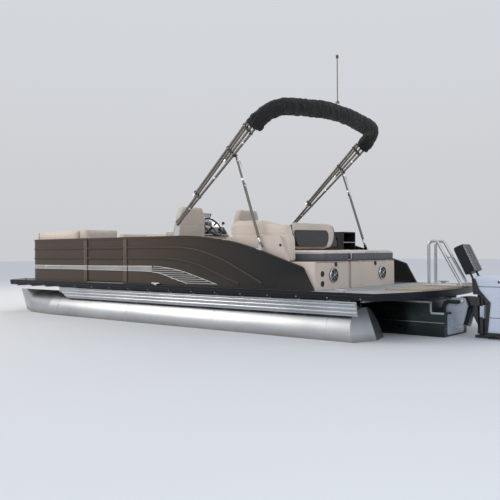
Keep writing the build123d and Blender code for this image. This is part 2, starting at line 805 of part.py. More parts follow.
def make_cubby():
    """Upright box with two open shelves that face aft."""
    body = block(cubby_aft, cubby_front, -cubby_outer, -cubby_inner, deck_top,
                 on_deck(cubby_height))
    body = fillet(body.edges().filter_by(Axis.Z), 20)
    for low, high in cubby_shelves:
        body = body - block(cubby_aft - 10, cubby_front - cubby_wall - 8,
                            cubby_wall - cubby_outer, -cubby_inner - cubby_wall,
                            on_deck(low), on_deck(high))
    return body


def make_speakers():
    solids = []
    for y in speaker_places:
        ring = Rot(0, -90, 0) * Cylinder(speaker_radius, 10, align=(Align.CENTER,) * 2
                                         + (Align.MIN,))
        solids.append(Pos(at(bench_aft), y, on_deck(speaker_height)) * ring)
    return Compound(solids)


# Bimini

def slope_point(along, y=pole_y, lift=0.0):
    """Place in the frame's sloping plane, a distance up from the pivots."""
    a = radians(pole_slope)
    return (at(pivot_s) - along * cos(a) + lift * sin(a), y,
            on_deck(pivot_on_deck) + along * sin(a) + lift * cos(a))


def slope_turn(shape):
    """Turn a shape drawn with Z up the poles and X across their plane."""
    return Rot(0, pole_slope - 90, 0) * shape


def leg_lift(leg, along):
    low, low_lift, high_lift = leg
    return low_lift + (high_lift - low_lift) * (along - low) / (boot_start - low)


def make_poles():
    """Two main poles that part from one knuckle, and two folded ones clipped beside them."""
    x, y, z = slope_point(0)
    bore = rod((x, y - 40, z), (x, y + 40, z), pivot_pin + pin_play)
    port = Pos(x, y, z) * Sphere(pole_radius)
    port = port + Pos(*slope_point(44, pole_y, 10)) * slope_turn(Box(54, 28, 64))
    for leg in legs:
        low = leg[0]
        port = port + rod(slope_point(low, pole_y, leg_lift(leg, low)),
                          slope_point(boot_start - leg_end_gap, pole_y, leg_lift(leg, boot_start)),
                          pole_radius)
    for along in pole_clips:
        lifts = [leg_lift(leg, along) for leg in legs if leg[0] < along - 20]
        middle = (min(lifts) + max(lifts)) / 2
        clip = slope_turn(Box(max(lifts) - min(lifts) + 2 * pole_radius - 4, 36, 26))
        port = port + Pos(*slope_point(along, pole_y, middle)) * clip
    x, y, z = strut_top()
    port = port + rod((x, pole_y, z), (x, strut_y + strut_radius + 1, z), 7) - bore
    return Compound([port, to_starboard(port)])


def strut_top():
    """Where the strut meets the lowest pole."""
    return slope_point(strut_reach, strut_y, leg_lift(legs[0], strut_reach))


def boot_path():
    return FilletPolyline(slope_point(boot_start), slope_point(boot_corner),
                          slope_point(boot_crown, 0.0), slope_point(boot_corner, -pole_y),
                          slope_point(boot_start, -pole_y),
                          radius=[boot_corner_radius, 4000.0, boot_corner_radius])


def make_boot():
    """Padded canvas arch that holds the folded canopy."""
    path = boot_path()
    normal = Vector(sin(radians(pole_slope)), 0, cos(radians(pole_slope)))
    start = Plane(path @ 0, x_dir=normal, z_dir=path % 0)
    return sweep(start * Ellipse(boot_half_depth, boot_half_width), path=path)


def fence_slope_top(s):
    knee_s, knee_z = fence_knee
    return knee_z + (fence_height - knee_z) * (s - knee_s) / (fence_shoulder - knee_s)


def make_bimini_mounts():
    """Hinge with two ears for each pole, and a one-eared hinge for each strut."""
    top = on_deck(fence_height)
    pivot_z = on_deck(pivot_on_deck)
    ear_y = pole_radius + 1
    plate = Pos(at(pivot_s), pole_y, top + 2) * Box(84, 2 * (ear_y + pivot_ear), 4)
    hinge = plate
    for y in (pole_y + ear_y, pole_y - ear_y - pivot_ear):
        ear = side_face([(pivot_s - 26, top + 2), (pivot_s + 26, top + 2),
                         (pivot_s + 12, pivot_z + 11), (pivot_s - 12, pivot_z + 11)])
        hinge = hinge + side_plate(ear, y, y + pivot_ear)
    pin = rod((at(pivot_s), pole_y - ear_y - pivot_ear - 3, pivot_z),
              (at(pivot_s), pole_y + ear_y + pivot_ear + 3, pivot_z), pivot_pin)
    hinge = hinge + pin

    ear_low = strut_y + strut_radius + 1.5
    s0, s1 = strut_s - 30, strut_s + 30
    low0, low1 = (on_deck(fence_slope_top(s) + rest_gap) for s in (s0, s1))
    foot = side_plate(side_face([(s0, low0), (s1, low1), (s1, low1 + 10), (s0, low0 + 10)]),
                      ear_low, pole_y + 14)
    centre = on_deck(strut_on_deck)
    ear = side_plate(side_face([(s0, low0 + 2), (s1, low1 + 2), (strut_s + 11, centre + 12),
                                (strut_s - 11, centre + 12)]), ear_low, ear_low + 5)
    strut_pin = rod((at(strut_s), ear_low + 2, centre),
                    (at(strut_s), strut_y - strut_radius - 4, centre), pivot_pin)
    one_side = [hinge, foot + ear + strut_pin]
    return Compound(one_side + [to_starboard(shape) for shape in one_side])


def make_struts():
    """Straight stays from the fence to the poles, each with an eye at its foot."""
    foot = Vector(at(strut_s), strut_y, on_deck(strut_on_deck))
    top = Vector(*strut_top())
    stay = rod(foot, top, strut_radius)
    for end in (foot, top):
        stay = stay + rod(end - Vector(0, strut_radius + 0.5, 0),
                          end + Vector(0, strut_radius + 0.5, 0), strut_eye)
    bore = rod(foot + Vector(0, -30, 0), foot + Vector(0, 30, 0), pivot_pin + pin_play)
    stay = stay - bore
    return Compound([stay, to_starboard(stay)])


def make_light():
    """Stern light on a thin pole that stands on the boot's crown."""
    crown = boot_path() @ 0.5
    foot = Pos(crown.X - light_offset, 0, crown.Z + 40)
    stem = Cylinder(light_stem, light_height, align=(Align.CENTER,) * 2 + (Align.MIN,))
    collar = Cylinder(24, boot_half_depth - 10, align=(Align.CENTER,) * 2 + (Align.MIN,))
    head = Pos(0, 0, light_height - 2) * Cylinder(16, 42, align=(Align.CENTER,) * 2
                                                  + (Align.MIN,))
    light = foot * (stem + collar + head) - make_boot()
    return light.solids().sort_by(Axis.Z)[-1]


# Ladder

def ladder_frame(shape):
    """From local axes, X outward over the stern and Y to starboard, to the boat."""
    s, y = ladder_foot
    return Pos(at(s), y, on_deck(platform_height)) * Rot(0, 0, 180 + ladder_skew) * shape


def rail_places():
    middle = hoop_spacing / 2
    return ((middle - ladder_half, 1), (middle + ladder_half, -1))


def make_hoops():
    """Two handrail hoops on a plate, with an arm out to each end of the hinge."""
    plate = Pos(hoop_depth / 2, hoop_spacing / 2, 0) * Box(
        hoop_depth + 60, hoop_spacing + 70, 5, align=(Align.CENTER,) * 2 + (Align.MIN,))
    solids = plate
    for i in range(2):
        y = i * hoop_spacing
        solids = solids + bent_tube([(0, y, 2), (0, y, hoop_height),
                                     (hoop_top_run, y, hoop_height), (hoop_depth, y, 2)],
                                    [48.0, 48.0], hoop_tube)
    out, up = ladder_pivot
    for rail_y, inward in rail_places():
        low = rail_y + inward * (ladder_rail + 1.5)
        high = low + inward * ladder_arm
        y0, y1 = min(low, high), max(low, high)
        arm = Pos(hoop_depth - 60, y0, 0) * Box(out - hoop_depth + 60, y1 - y0, 26,
                                                align=(Align.MIN,) * 3)
        ear = Pos(out - 18, y0, 0) * Box(36, y1 - y0, up + 16, align=(Align.MIN,) * 3)
        pin = rod((out, rail_y - inward * (ladder_rail + 4), up), (out, high, up), ladder_pin)
        web = Pos(hoop_depth - 60, min(y0, 0), 0) * Box(60, max(y1, hoop_spacing) - min(y0, 0),
                                                         5, align=(Align.MIN,) * 3)
        solids = solids + arm + ear + pin + web
    above = Box(2000, 2000, 2000, align=(Align.CENTER,) * 2 + (Align.MIN,))
    return ladder_frame(solids & above)


def make_ladder():
    """Folded steps: two rails and broad treads, leaning forward over the hoops."""
    out, up = ladder_pivot
    ladder = None
    for rail_y, inward in rail_places():
        y = rail_y - hoop_spacing / 2
        rail = Pos(0, y, 0) * Cylinder(ladder_rail, ladder_length, align=(
            Align.CENTER, Align.CENTER, Align.MIN))
        rail = rail + Pos(0, y, 0) * Sphere(ladder_rail)
        ladder = rail if ladder is None else ladder + rail
    for i in range(3):
        tread = Pos(8, 0, first_tread + tread_pitch * i) * Box(
            tread_thickness, tread_width, tread_pitch - 4, align=(Align.CENTER,) * 2 + (Align.MIN,))
        ladder = ladder + fillet(tread.edges().filter_by(Axis.Y), 14)
    bore = rod((0, -ladder_half - 40, 0), (0, ladder_half + 40, 0), ladder_pin + pin_play)
    ladder = ladder - bore
    placed = Pos(out, hoop_spacing / 2, up) * Rot(0, -ladder_lean, 0) * ladder
    return ladder_frame(placed)


# Outboard

def make_clamp():
    """Two bracket plates hooked over the transom, with the tilt axle between them."""
    s, z = tilt_axis
    seat = pod_well_floor + rest_gap
    profile = side_face([(transom - 6, 96), (transom - 6, seat), (-228, seat), (-224, 362),
                         (-300, 424), (s + 30, z + 42), (s - 34, z + 32), (-478, 338),
                         (-408, 96)])
    solids = Pos(at(s), 0, z) * Rot(90, 0, 0) * Cylinder(16, 2 * clamp_half + 30)
    for y in (clamp_half - clamp_plate, -clamp_half):
        solids = solids + side_plate(profile, y, y + clamp_plate)
    pads = block(transom - 8, transom - rest_gap, -clamp_half, clamp_half, 104, 230)
    return solids + pads


def make_hose():
    """Short bundle of engine hoses from the well in the pod to the clamp's axle."""
    s, z = tilt_axis
    y = clamp_half + 32
    floor = pod_well_floor + rest_gap
    return bent_tube([(at(-215), y, floor), (at(-215), y, floor + 120),
                      (at(s + 60), y, z - 10), (at(s + 22), y, z - 10)],
                     [hose_radius * 1.6] * 2, hose_radius)


def make_swivel():
    s, z = tilt_axis
    tube_top, tube_foot = swivel_top, 40.0
    barrel = Pos(at(steer_s), 0, tube_foot) * Cylinder(52, tube_top - tube_foot, align=(
        Align.CENTER, Align.CENTER, Align.MIN))
    yoke = block(steer_s, s + 10, -80, 80, z - 46, z + 46)
    hole = Pos(at(s), 0, z) * Rot(90, 0, 0) * Cylinder(16.06, 300)
    brace = side_plate(side_face([(steer_s, 60), (steer_s, z - 40), (s - 20, z - 40)]), -34, 34)
    pin_hole = Pos(at(steer_s), 0, 0) * Cylinder(30.06, 1600)
    return barrel + yoke + brace - hole - pin_hole


def motor_frame(grow=0.0):
    """Black midsection and engine block: it bridges the swivel's barrel above and below."""
    g = grow
    face = side_face([(steer_s + 58 + g, 640 + g), (steer_s + 44 + g, swivel_top + 9 - g),
                      (steer_s - 62 + g, swivel_top + 9 - g), (steer_s - 90 + g, 380),
                      (steer_s - 86 + g, 34 - g), (steer_s - 470 - g, 34 - g),
                      (steer_s - 500 - g, 620 + g)])
    return side_plate(face, -motor_frame_half - g, motor_frame_half + g)


def make_motor():
    pin = Pos(at(steer_s), 0, 20) * Cylinder(30, swivel_top - 2, align=(
        Align.CENTER,) * 2 + (Align.MIN,))
    yoke = block(steer_s - 120, steer_s + 48, -90, 90, -30, 34)
    leg = side_plate(side_face([(steer_s + 10, -28), (steer_s - 250, -28), (steer_s - 230, -300),
                                (steer_s - 20, -300)]), -38, 38)
    plate = Pos(0, 0, -296) * extrude(make_face(Polyline(
        (at(steer_s + 40), 40), (at(steer_s - 120), 110), (at(steer_s - 330), 110),
        (at(steer_s - 330), -110), (at(steer_s - 120), -110), (at(steer_s + 40), -40),
        close=True)), 8)
    strut = side_plate(side_face([(steer_s - 20, -292), (steer_s - 225, -292),
                                  (steer_s - 215, shaft_z), (steer_s - 5, shaft_z)]), -22, 22)
    case = extrude(Plane((at(steer_s - case_length), 0, shaft_z), z_dir=(1, 0, 0))
                   * Circle(case_radius), case_length - 25)
    nose = Pos(at(steer_s - 25), 0, shaft_z) * Sphere(case_radius)
    skeg = side_plate(side_face([(steer_s - 20, shaft_z), (steer_s - 190, shaft_z),
                                 (steer_s - 200, shaft_z - 190), (steer_s - 140, shaft_z - 190)]),
                      -7, 7)
    shaft = Pos(at(steer_s - case_length) - 60, 0, shaft_z) * Rot(0, 90, 0) * Cylinder(
        shaft_radius, 80, align=(Align.CENTER,) * 2 + (Align.MIN,))
    return pin + motor_frame() + yoke + leg + plate + strut + case + nose + skeg + shaft


def make_cowl():
    z0, z1 = 72.0, 668.0
    profile = side_face([(-574, z1), (-1120, z1 - 20), (-1165, z1 - 150), (-1150, 260),
                         (-1080, z0), (-716, z0), (-749, 387), (-632, 520)])
    body = side_plate(profile, -motor_half_width, motor_half_width)
    body = fillet(body.edges().filter_by(lambda e: abs(abs(e.center().Y) - motor_half_width) < 1),
                  28)
    front = block(-760, steer_s + 200, -motor_frame_half - 1, motor_frame_half + 1, 0, 641)
    return body - motor_frame(1.0) - front


def make_propeller():
    x = at(steer_s - case_length) - rest_gap
    hub = Pos(x - 90, 0, shaft_z) * Rot(0, 90, 0) * Cylinder(44, 90, align=(
        Align.CENTER, Align.CENTER, Align.MIN))
    blade = Pos(0, 0, 40) * Box(9, 92, 125, align=(Align.CENTER, Align.CENTER, Align.MIN))
    blade = fillet(blade.edges().filter_by(Axis.X).group_by(Axis.Z)[-1], 40)
    prop = hub
    for i in range(3):
        prop = prop + Pos(x - 45, 0, shaft_z) * Rot(120 * i, 0, 0) * Rot(0, 0, 28) * blade
    bore = Pos(x - 70, 0, shaft_z) * Rot(0, 90, 0) * Cylinder(
        shaft_radius + pin_play, 100, align=(Align.CENTER,) * 2 + (Align.MIN,))
    return prop - bore


def make_cleats():
    solids = []
    edge = beam / 2
    for s, y in ((420, edge - 55), (deck_length - 240, edge - 115), (3300, edge - 45)):
        for side in (1, -1):
            foot = Pos(at(s), side * y, deck_top) * Box(60, 26, 22, align=(
                Align.CENTER, Align.CENTER, Align.MIN))
            horn = Pos(at(s), side * y, deck_top + 24) * Rot(0, 90, 0) * Cylinder(8, 150)
            solids.append(foot + horn)
    return Compound(solids)


parts = {
    "deck": make_deck(),
    "rub_rail": make_rub_rail(),
    "stern_platform": make_platform(),
    "tube_port": Pos(0, tube_spacing, 0) * make_tube(60),
    "tube_starboard": Pos(0, -tube_spacing, 0) * make_tube(60),
    "tube_centre": make_centre_tube(),
    "motor_pod": make_pod(),
    "cross_channels": make_channels(),
    "tube_risers": make_risers(),
    "skirt_port": make_skirt(),
    "skirt_starboard": to_starboard(make_skirt()),
    "fence_port_aft": make_aft_fence(side_gate_aft, True),
    "fence_port_bow": make_bow_fence(side_gate_front, True),
    "fence_starboard": make_starboard_fence(),
    "side_gate": make_side_gate(),
    "bow_gate": make_bow_gate(),
    "bow_lounge_base_port": make_bow_lounge_base(),
    "bow_lounge_base_starboard": to_starboard(make_bow_lounge_base()),
    "bow_lounge_pads_port": make_bow_lounge_pads(),
    "bow_lounge_pads_starboard": to_starboard(make_bow_lounge_pads()),
    "aft_lounge_base": make_aft_lounge_base(),
    "aft_lounge_pads": make_aft_lounge_pads(),
    "bench_base": make_bench_base(),
    "bench_pads": make_bench_pads(),
    "swing_back": make_swing_back(),
    "swing_back_pads": make_swing_pads(),
    "chair_posts": make_chair_posts(),
    "chair_companion": make_chair(chair_place[0]),
    "chair_helm": make_chair(chair_place[1]),
    "helm_console": make_console(),
    "windscreen": make_windscreen(),
    "steering_wheel": make_wheel(),
    "side_cubby": make_cubby(),
    "stern_speakers": make_speakers(),
    "bimini_poles": make_poles(),
    "bimini_boot": make_boot(),
    "bimini_mounts": make_bimini_mounts(),
    "bimini_struts": make_struts(),
    "stern_light": make_light(),
    "ladder_hoops": make_hoops(),
    "ladder_steps": make_ladder(),
    "motor_clamp": make_clamp(),
    "rigging_hose": make_hose(),
    "motor_swivel": make_swivel(),
    "motor_leg": make_motor(),
    "motor_cowl": make_cowl(),
    "propeller": make_propeller(),
    "deck_cleats": make_cleats(),
}

for name, shape in parts.items():
    export_step(shape, f"parts/{name}.step")
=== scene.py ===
import json
import math

import bmesh
import bpy
import numpy as np
from mathutils import Matrix, Vector, bvhtree, kdtree, noise

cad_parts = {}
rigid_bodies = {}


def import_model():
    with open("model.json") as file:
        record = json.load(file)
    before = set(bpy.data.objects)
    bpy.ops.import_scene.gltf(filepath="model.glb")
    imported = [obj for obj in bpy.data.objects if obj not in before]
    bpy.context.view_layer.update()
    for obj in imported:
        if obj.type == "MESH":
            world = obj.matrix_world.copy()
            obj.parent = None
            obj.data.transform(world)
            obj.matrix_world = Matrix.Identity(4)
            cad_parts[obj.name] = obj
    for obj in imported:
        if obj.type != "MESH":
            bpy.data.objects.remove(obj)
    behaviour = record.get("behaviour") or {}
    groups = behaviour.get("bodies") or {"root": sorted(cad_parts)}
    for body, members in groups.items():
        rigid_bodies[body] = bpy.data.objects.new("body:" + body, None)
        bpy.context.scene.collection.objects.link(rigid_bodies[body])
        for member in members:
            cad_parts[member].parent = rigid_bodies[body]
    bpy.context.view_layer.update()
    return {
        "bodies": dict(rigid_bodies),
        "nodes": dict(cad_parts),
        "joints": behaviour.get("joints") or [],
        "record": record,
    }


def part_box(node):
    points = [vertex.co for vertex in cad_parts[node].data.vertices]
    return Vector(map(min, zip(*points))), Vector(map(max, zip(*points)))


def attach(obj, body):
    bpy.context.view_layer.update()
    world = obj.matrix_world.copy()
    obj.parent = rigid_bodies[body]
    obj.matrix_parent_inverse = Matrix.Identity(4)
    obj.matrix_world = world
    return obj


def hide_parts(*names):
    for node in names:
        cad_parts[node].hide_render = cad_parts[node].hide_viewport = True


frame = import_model()
nodes = frame["nodes"]
print("stage: frame loaded")

deckTop = 0.515
deckLength = 6.8
sides = (1, -1)
ahead, astern, toPort, toStarboard, upward = (1, 0, 0), (-1, 0, 0), (0, 1, 0), (0, -1, 0), (0, 0, 1)


def at(s):
    # X of a place s ahead of the stern's corners
    return s - deckLength / 2


def onDeck(z):
    return deckTop + z


def spot(s, y, z):
    return Vector((at(s), y, onDeck(z)))


def turned(x, y, z):
    # the rotation whose axes are x, y and z
    return Matrix((x, y, z)).transposed().to_4x4()


def moved(place, turn):
    return Matrix.Translation(place) @ turn


def newObject(name, data):
    made = bpy.data.objects.new(name, data)
    bpy.context.scene.collection.objects.link(made)
    return made


# Materials

class Nodes:
    # adds nodes to one tree and links them

    def __init__(self, tree):
        self.tree = tree

    def put(self, socket, value):
        # value is a socket to link, a colour, a vector or a number
        if isinstance(value, bpy.types.NodeSocket):
            self.tree.links.new(value, socket)
        elif isinstance(value, tuple) and len(socket.default_value) == 4:
            socket.default_value = (*value, 1)
        else:
            socket.default_value = value

    def add(self, kind, inputs=None, **settings):
        node = self.tree.nodes.new(kind)
        for key, value in settings.items():
            setattr(node, key, value)
        for key, value in (inputs or {}).items():
            self.put(node.inputs[key], value)
        return node

    def math(self, operation, a, b):
        return self.add("ShaderNodeMath", {0: a, 1: b}, operation=operation).outputs[0]


class Shader(Nodes):
    names = {"color": "Base Color", "rough": "Roughness", "metal": "Metallic",
             "coat": "Coat Weight", "coatRough": "Coat Roughness", "sheen": "Sheen Weight",
             "specular": "Specular IOR Level", "alpha": "Alpha", "under": "Subsurface Weight"}

    def __init__(self, name):
        self.material = bpy.data.materials.new(name)
        self.material.use_nodes = True
        super().__init__(self.material.node_tree)
        self.principled = self.tree.nodes["Principled BSDF"]
        self.coords = self.add("ShaderNodeTexCoord").outputs["Object"]

    def place(self, stretch):
        return self.add("ShaderNodeMapping", {"Scale": stretch, "Vector": self.coords}).outputs[0]

    def noise(self, scale, stretch=(1, 1, 1), detail=4.0, rough=0.5):
        return self.add("ShaderNodeTexNoise", {"Scale": scale, "Detail": detail, "Roughness": rough,
                                               "Vector": self.place(stretch)}).outputs["Fac"]

    def cells(self, scale):
        return self.add("ShaderNodeTexVoronoi", {"Scale": scale, "Vector": self.place((1, 1, 1))},
                        feature="F1").outputs["Distance"]

    def wave(self, scale, axis, distort=0.0):
        return self.add("ShaderNodeTexWave", {"Scale": scale, "Distortion": distort, "Detail": 1.0,
                                              "Vector": self.place((1, 1, 1))},
                        bands_direction=axis).outputs["Fac"]

    def axis(self, letter):
        return self.add("ShaderNodeSeparateXYZ", {"Vector": self.coords}).outputs[letter]

    def span(self, value, fromLow, fromHigh, toLow=0.0, toHigh=1.0):
        return self.add("ShaderNodeMapRange", {"Value": value, "From Min": fromLow, "To Min": toLow,
                                               "From Max": fromHigh, "To Max": toHigh}
                        ).outputs["Result"]

    def middle(self, value, low=0.0, high=1.0):
        # the middle of a texture's reach, stretched to low and high
        return self.span(value, 0.3, 0.7, low, high)

    def patchy(self, broad, color, low, high):
        # the colour, from low to high shares of it
        return self.mix(self.middle(broad), shade(color, low), shade(color, high))

    def mix(self, factor, a, b):
        node = self.add("ShaderNodeMix", {"Factor": factor, 6: a, 7: b}, data_type="RGBA")
        return node.outputs[2]

    def bump(self, heights, distance=0.001):
        last = None
        for height, strength in heights:
            node = self.add("ShaderNodeBump", {"Strength": strength, "Distance": distance,
                                               "Height": height})
            if last:
                self.put(node.inputs["Normal"], last)
            last = node.outputs["Normal"]
        self.put(self.principled.inputs["Normal"], last)
        return self.material

    def surface(self, **values):
        for key, value in values.items():
            self.put(self.principled.inputs[self.names[key]], value)
        return self.material


def shade(color, amount):
    return tuple(min(1.0, c * amount) for c in color)


def grained(name, color, rough=0.5, metal=0.0, spread=0.12, grain=240, grainBump=0.06,
            patchBump=0.0, roughSpread=0.12, **extra):
    # fine grain, large soft patches and uneven gloss
    s = Shader(name)
    fine, broad = s.noise(grain, detail=2.0), s.noise(2.2, detail=3.0)
    tone = s.patchy(broad, color, 1 - spread, 1 + spread)
    tone = s.mix(s.span(fine, 0.35, 0.65, 0.0, 0.25), tone, shade(color, 0.8))
    half = roughSpread * 0.5
    s.surface(color=tone, metal=metal, rough=s.span(broad, 0.25, 0.75, rough - half, rough + half),
              **extra)
    return s.bump([(fine, grainBump)] + ([(broad, patchBump)] if patchBump else []))


tints = {
    # fence colours: one dark paint, given painted sunlight as brown forward and painted shade as
    # slate aft
    "fence": (0.074, 0.052, 0.037), "fenceAftShaded": (0.0060, 0.0078, 0.0095),
    "beige": (0.69, 0.585, 0.50), "charcoal": (0.085, 0.088, 0.097),
    "piping": (0.78, 0.72, 0.63), "shell": (0.70, 0.59, 0.51),
    "canvas": (0.0085, 0.0078, 0.0078), "pole": (0.20, 0.18, 0.16), "tan": (0.47, 0.38, 0.27),
    # cowl: a white cowl tinted pale blue, painted skylight shade
    "cowl": (0.62, 0.68, 0.80), "stripe": (0.42, 0.415, 0.41),
}


def aluminiumTube():
    # sheet brushed round the tube, with a faint scum line at the water
    s = Shader("tubeAluminium")
    brush = s.noise(60, stretch=(14, 0.6, 0.6), detail=3)
    broad = s.noise(1.3, stretch=(1, 2, 2))
    ragged = s.math("ADD", s.axis("Z"), s.span(s.noise(5, detail=5), 0, 1, -0.03, 0.03))
    scum = s.span(ragged, 0.0, 0.09, 1.0, 0.0)
    tone = s.mix(s.middle(broad), (0.42, 0.44, 0.465), (0.54, 0.56, 0.585))
    tone = s.mix(s.math("MULTIPLY", scum, 0.6), tone, (0.22, 0.20, 0.17))
    rough = s.math("ADD", s.middle(brush, 0.30, 0.42), s.math("MULTIPLY", scum, 0.2))
    s.surface(color=tone, metal=1.0, rough=rough)
    return s.bump([(brush, 0.035), (broad, 0.25)], 0.004)


def podShadedMetal():
    # aluminium sheet coloured dark green: painted shade from under the deck and a painted
    # reflection of the dark water
    s = Shader("podPaintedShade")
    broad = s.noise(1.6, stretch=(1, 2, 2))
    brush = s.noise(50, stretch=(0.6, 6, 10), detail=3)
    tone = s.mix(s.middle(broad), (0.030, 0.040, 0.038), (0.065, 0.082, 0.080))
    s.surface(color=tone, metal=0.9, rough=s.middle(brush, 0.22, 0.34))
    return s.bump([(brush, 0.03), (broad, 0.25)], 0.004)


def satinAluminium(name, color, rough):
    s = Shader(name)
    brush = s.noise(70, stretch=(0.5, 12, 12), detail=3)
    tone = s.patchy(s.noise(2.0), color, 0.88, 1.1)
    s.surface(color=tone, metal=1.0, rough=s.middle(brush, rough - 0.07, rough + 0.08))
    return s.bump([(brush, 0.05)])


def fencePaint():
    # dark embossed sheet with painted light, shaded slate aft and sunlit brown forward, dusty low
    # down
    s = Shader("fencePaint")
    broad = s.noise(1.1, detail=5)
    dust = s.span(s.axis("Z"), 0.52, 0.75, 0.35, 0.0)
    # painted light: the colour runs from painted shade aft to painted sunlight forward
    paintedSunShade = s.span(s.math("ADD", s.axis("X"), s.span(broad, 0, 1, -0.25, 0.25)), -2.1, 0.4)
    base = s.mix(paintedSunShade, tints["fenceAftShaded"], tints["fence"])
    tone = s.mix(s.middle(broad, 0.16, 0.0), base, (0.09, 0.08, 0.07))
    tone = s.mix(s.math("MULTIPLY", dust, s.middle(broad)), tone, (0.10, 0.085, 0.07))
    s.surface(color=tone, metal=0.15, rough=s.middle(broad, 0.42, 0.54), coat=0.12,
              coatRough=0.3, specular=0.2)
    return s.bump([(s.cells(260), 0.28)], 0.0008)


def vinyl(name, color, rough=0.5):
    # marine vinyl: leather cells, faint creases and handling marks
    s = Shader(name)
    crease, broad = s.noise(26, detail=6, rough=0.6), s.noise(2.5)
    tone = s.patchy(broad, color, 0.90, 1.06)
    tone = s.mix(s.span(crease, 0.55, 0.8, 0.0, 0.35), tone, shade(color, 0.78))
    s.surface(color=tone, rough=s.middle(broad, rough - 0.06, rough + 0.08), sheen=0.12, under=0.03)
    return s.bump([(s.cells(420), 0.30), (crease, 0.12)], 0.0012)


def canvas():
    s = Shader("bootCanvas")
    broad = s.noise(3.2, detail=6, rough=0.6)
    color = tints["canvas"]
    tone = s.mix(s.span(broad, 0.35, 0.7), shade(color, 0.75), shade(color, 1.9))
    s.surface(color=tone, rough=s.middle(broad, 0.62, 0.8), sheen=0.08, specular=0.35)
    return s.bump([(s.wave(240, "X"), 0.12), (s.wave(240, "Z"), 0.12), (broad, 0.35)], 0.002)


def wovenFloor():
    s = Shader("deckWeave")
    weave = s.math("MULTIPLY", s.wave(170, "X", 0.6), s.wave(170, "Y", 0.6))
    tone = s.mix(s.span(s.noise(90, detail=2), 0.35, 0.65), (0.17, 0.155, 0.14), (0.34, 0.31, 0.28))
    tone = s.mix(weave, shade((0.2, 0.18, 0.16), 0.7), tone)
    # pale non-skid sheet aft of the seats
    pale = s.mix(s.middle(s.noise(2.2)), (0.40, 0.405, 0.41), (0.50, 0.505, 0.51))
    s.surface(color=s.mix(s.span(s.axis("X"), at(0.790), at(0.792), 1.0, 0.0), tone, pale),
              rough=0.72)
    return s.bump([(weave, 0.5)], 0.0015)


def nonSkid():
    s = Shader("nonSkid")
    pebble = s.cells(110)
    tone = s.patchy(s.noise(2.4, detail=5), tints["tan"], 0.85, 1.15)
    tone = s.mix(s.span(pebble, 0.0, 0.5, 0.35, 0.0), tone, shade(tints["tan"], 0.55))
    s.surface(color=tone, rough=0.68)
    return s.bump([(pebble, 0.6)], 0.0015)


def gelcoat(name, color, rough=0.3):
    s = Shader(name)
    broad = s.noise(1.6)
    tone = s.patchy(broad, color, 0.93, 1.05)
    s.surface(color=tone, rough=s.middle(broad, rough - 0.04, rough + 0.08), coat=0.5,
              coatRough=0.12)
    return s.bump([(s.noise(120, detail=2), 0.05)], 0.0006)


def tinted():
    s = Shader("tintedGlass")
    smear = s.span(s.noise(6, detail=6), 0.3, 0.8, 0.02, 0.10)
    return s.surface(color=(0.09, 0.10, 0.105), rough=smear, alpha=0.42, coat=1.0, coatRough=0.03)


looks = {
    "tube": aluminiumTube(), "pod": podShadedMetal(), "fence": fencePaint(), "floor": wovenFloor(),
    "platform": nonSkid(), "canvas": canvas(), "glass": tinted(),
    "skirt": satinAluminium("skirtAluminium", (0.52, 0.545, 0.575), 0.30),
    "frame": satinAluminium("frameAluminium", (0.42, 0.43, 0.44), 0.45),
    "beige": vinyl("beigeVinyl", tints["beige"]),
    "beigeDark": vinyl("beigeShade", shade(tints["beige"], 0.86)),
    "charcoal": vinyl("charcoalVinyl", tints["charcoal"], 0.42),
    "piping": vinyl("pipingVinyl", tints["piping"], 0.4),
    "gelcoat": gelcoat("consoleGelcoat", tints["shell"]),
    "cowl": gelcoat("cowlShadedWhite", tints["cowl"], 0.24),
}
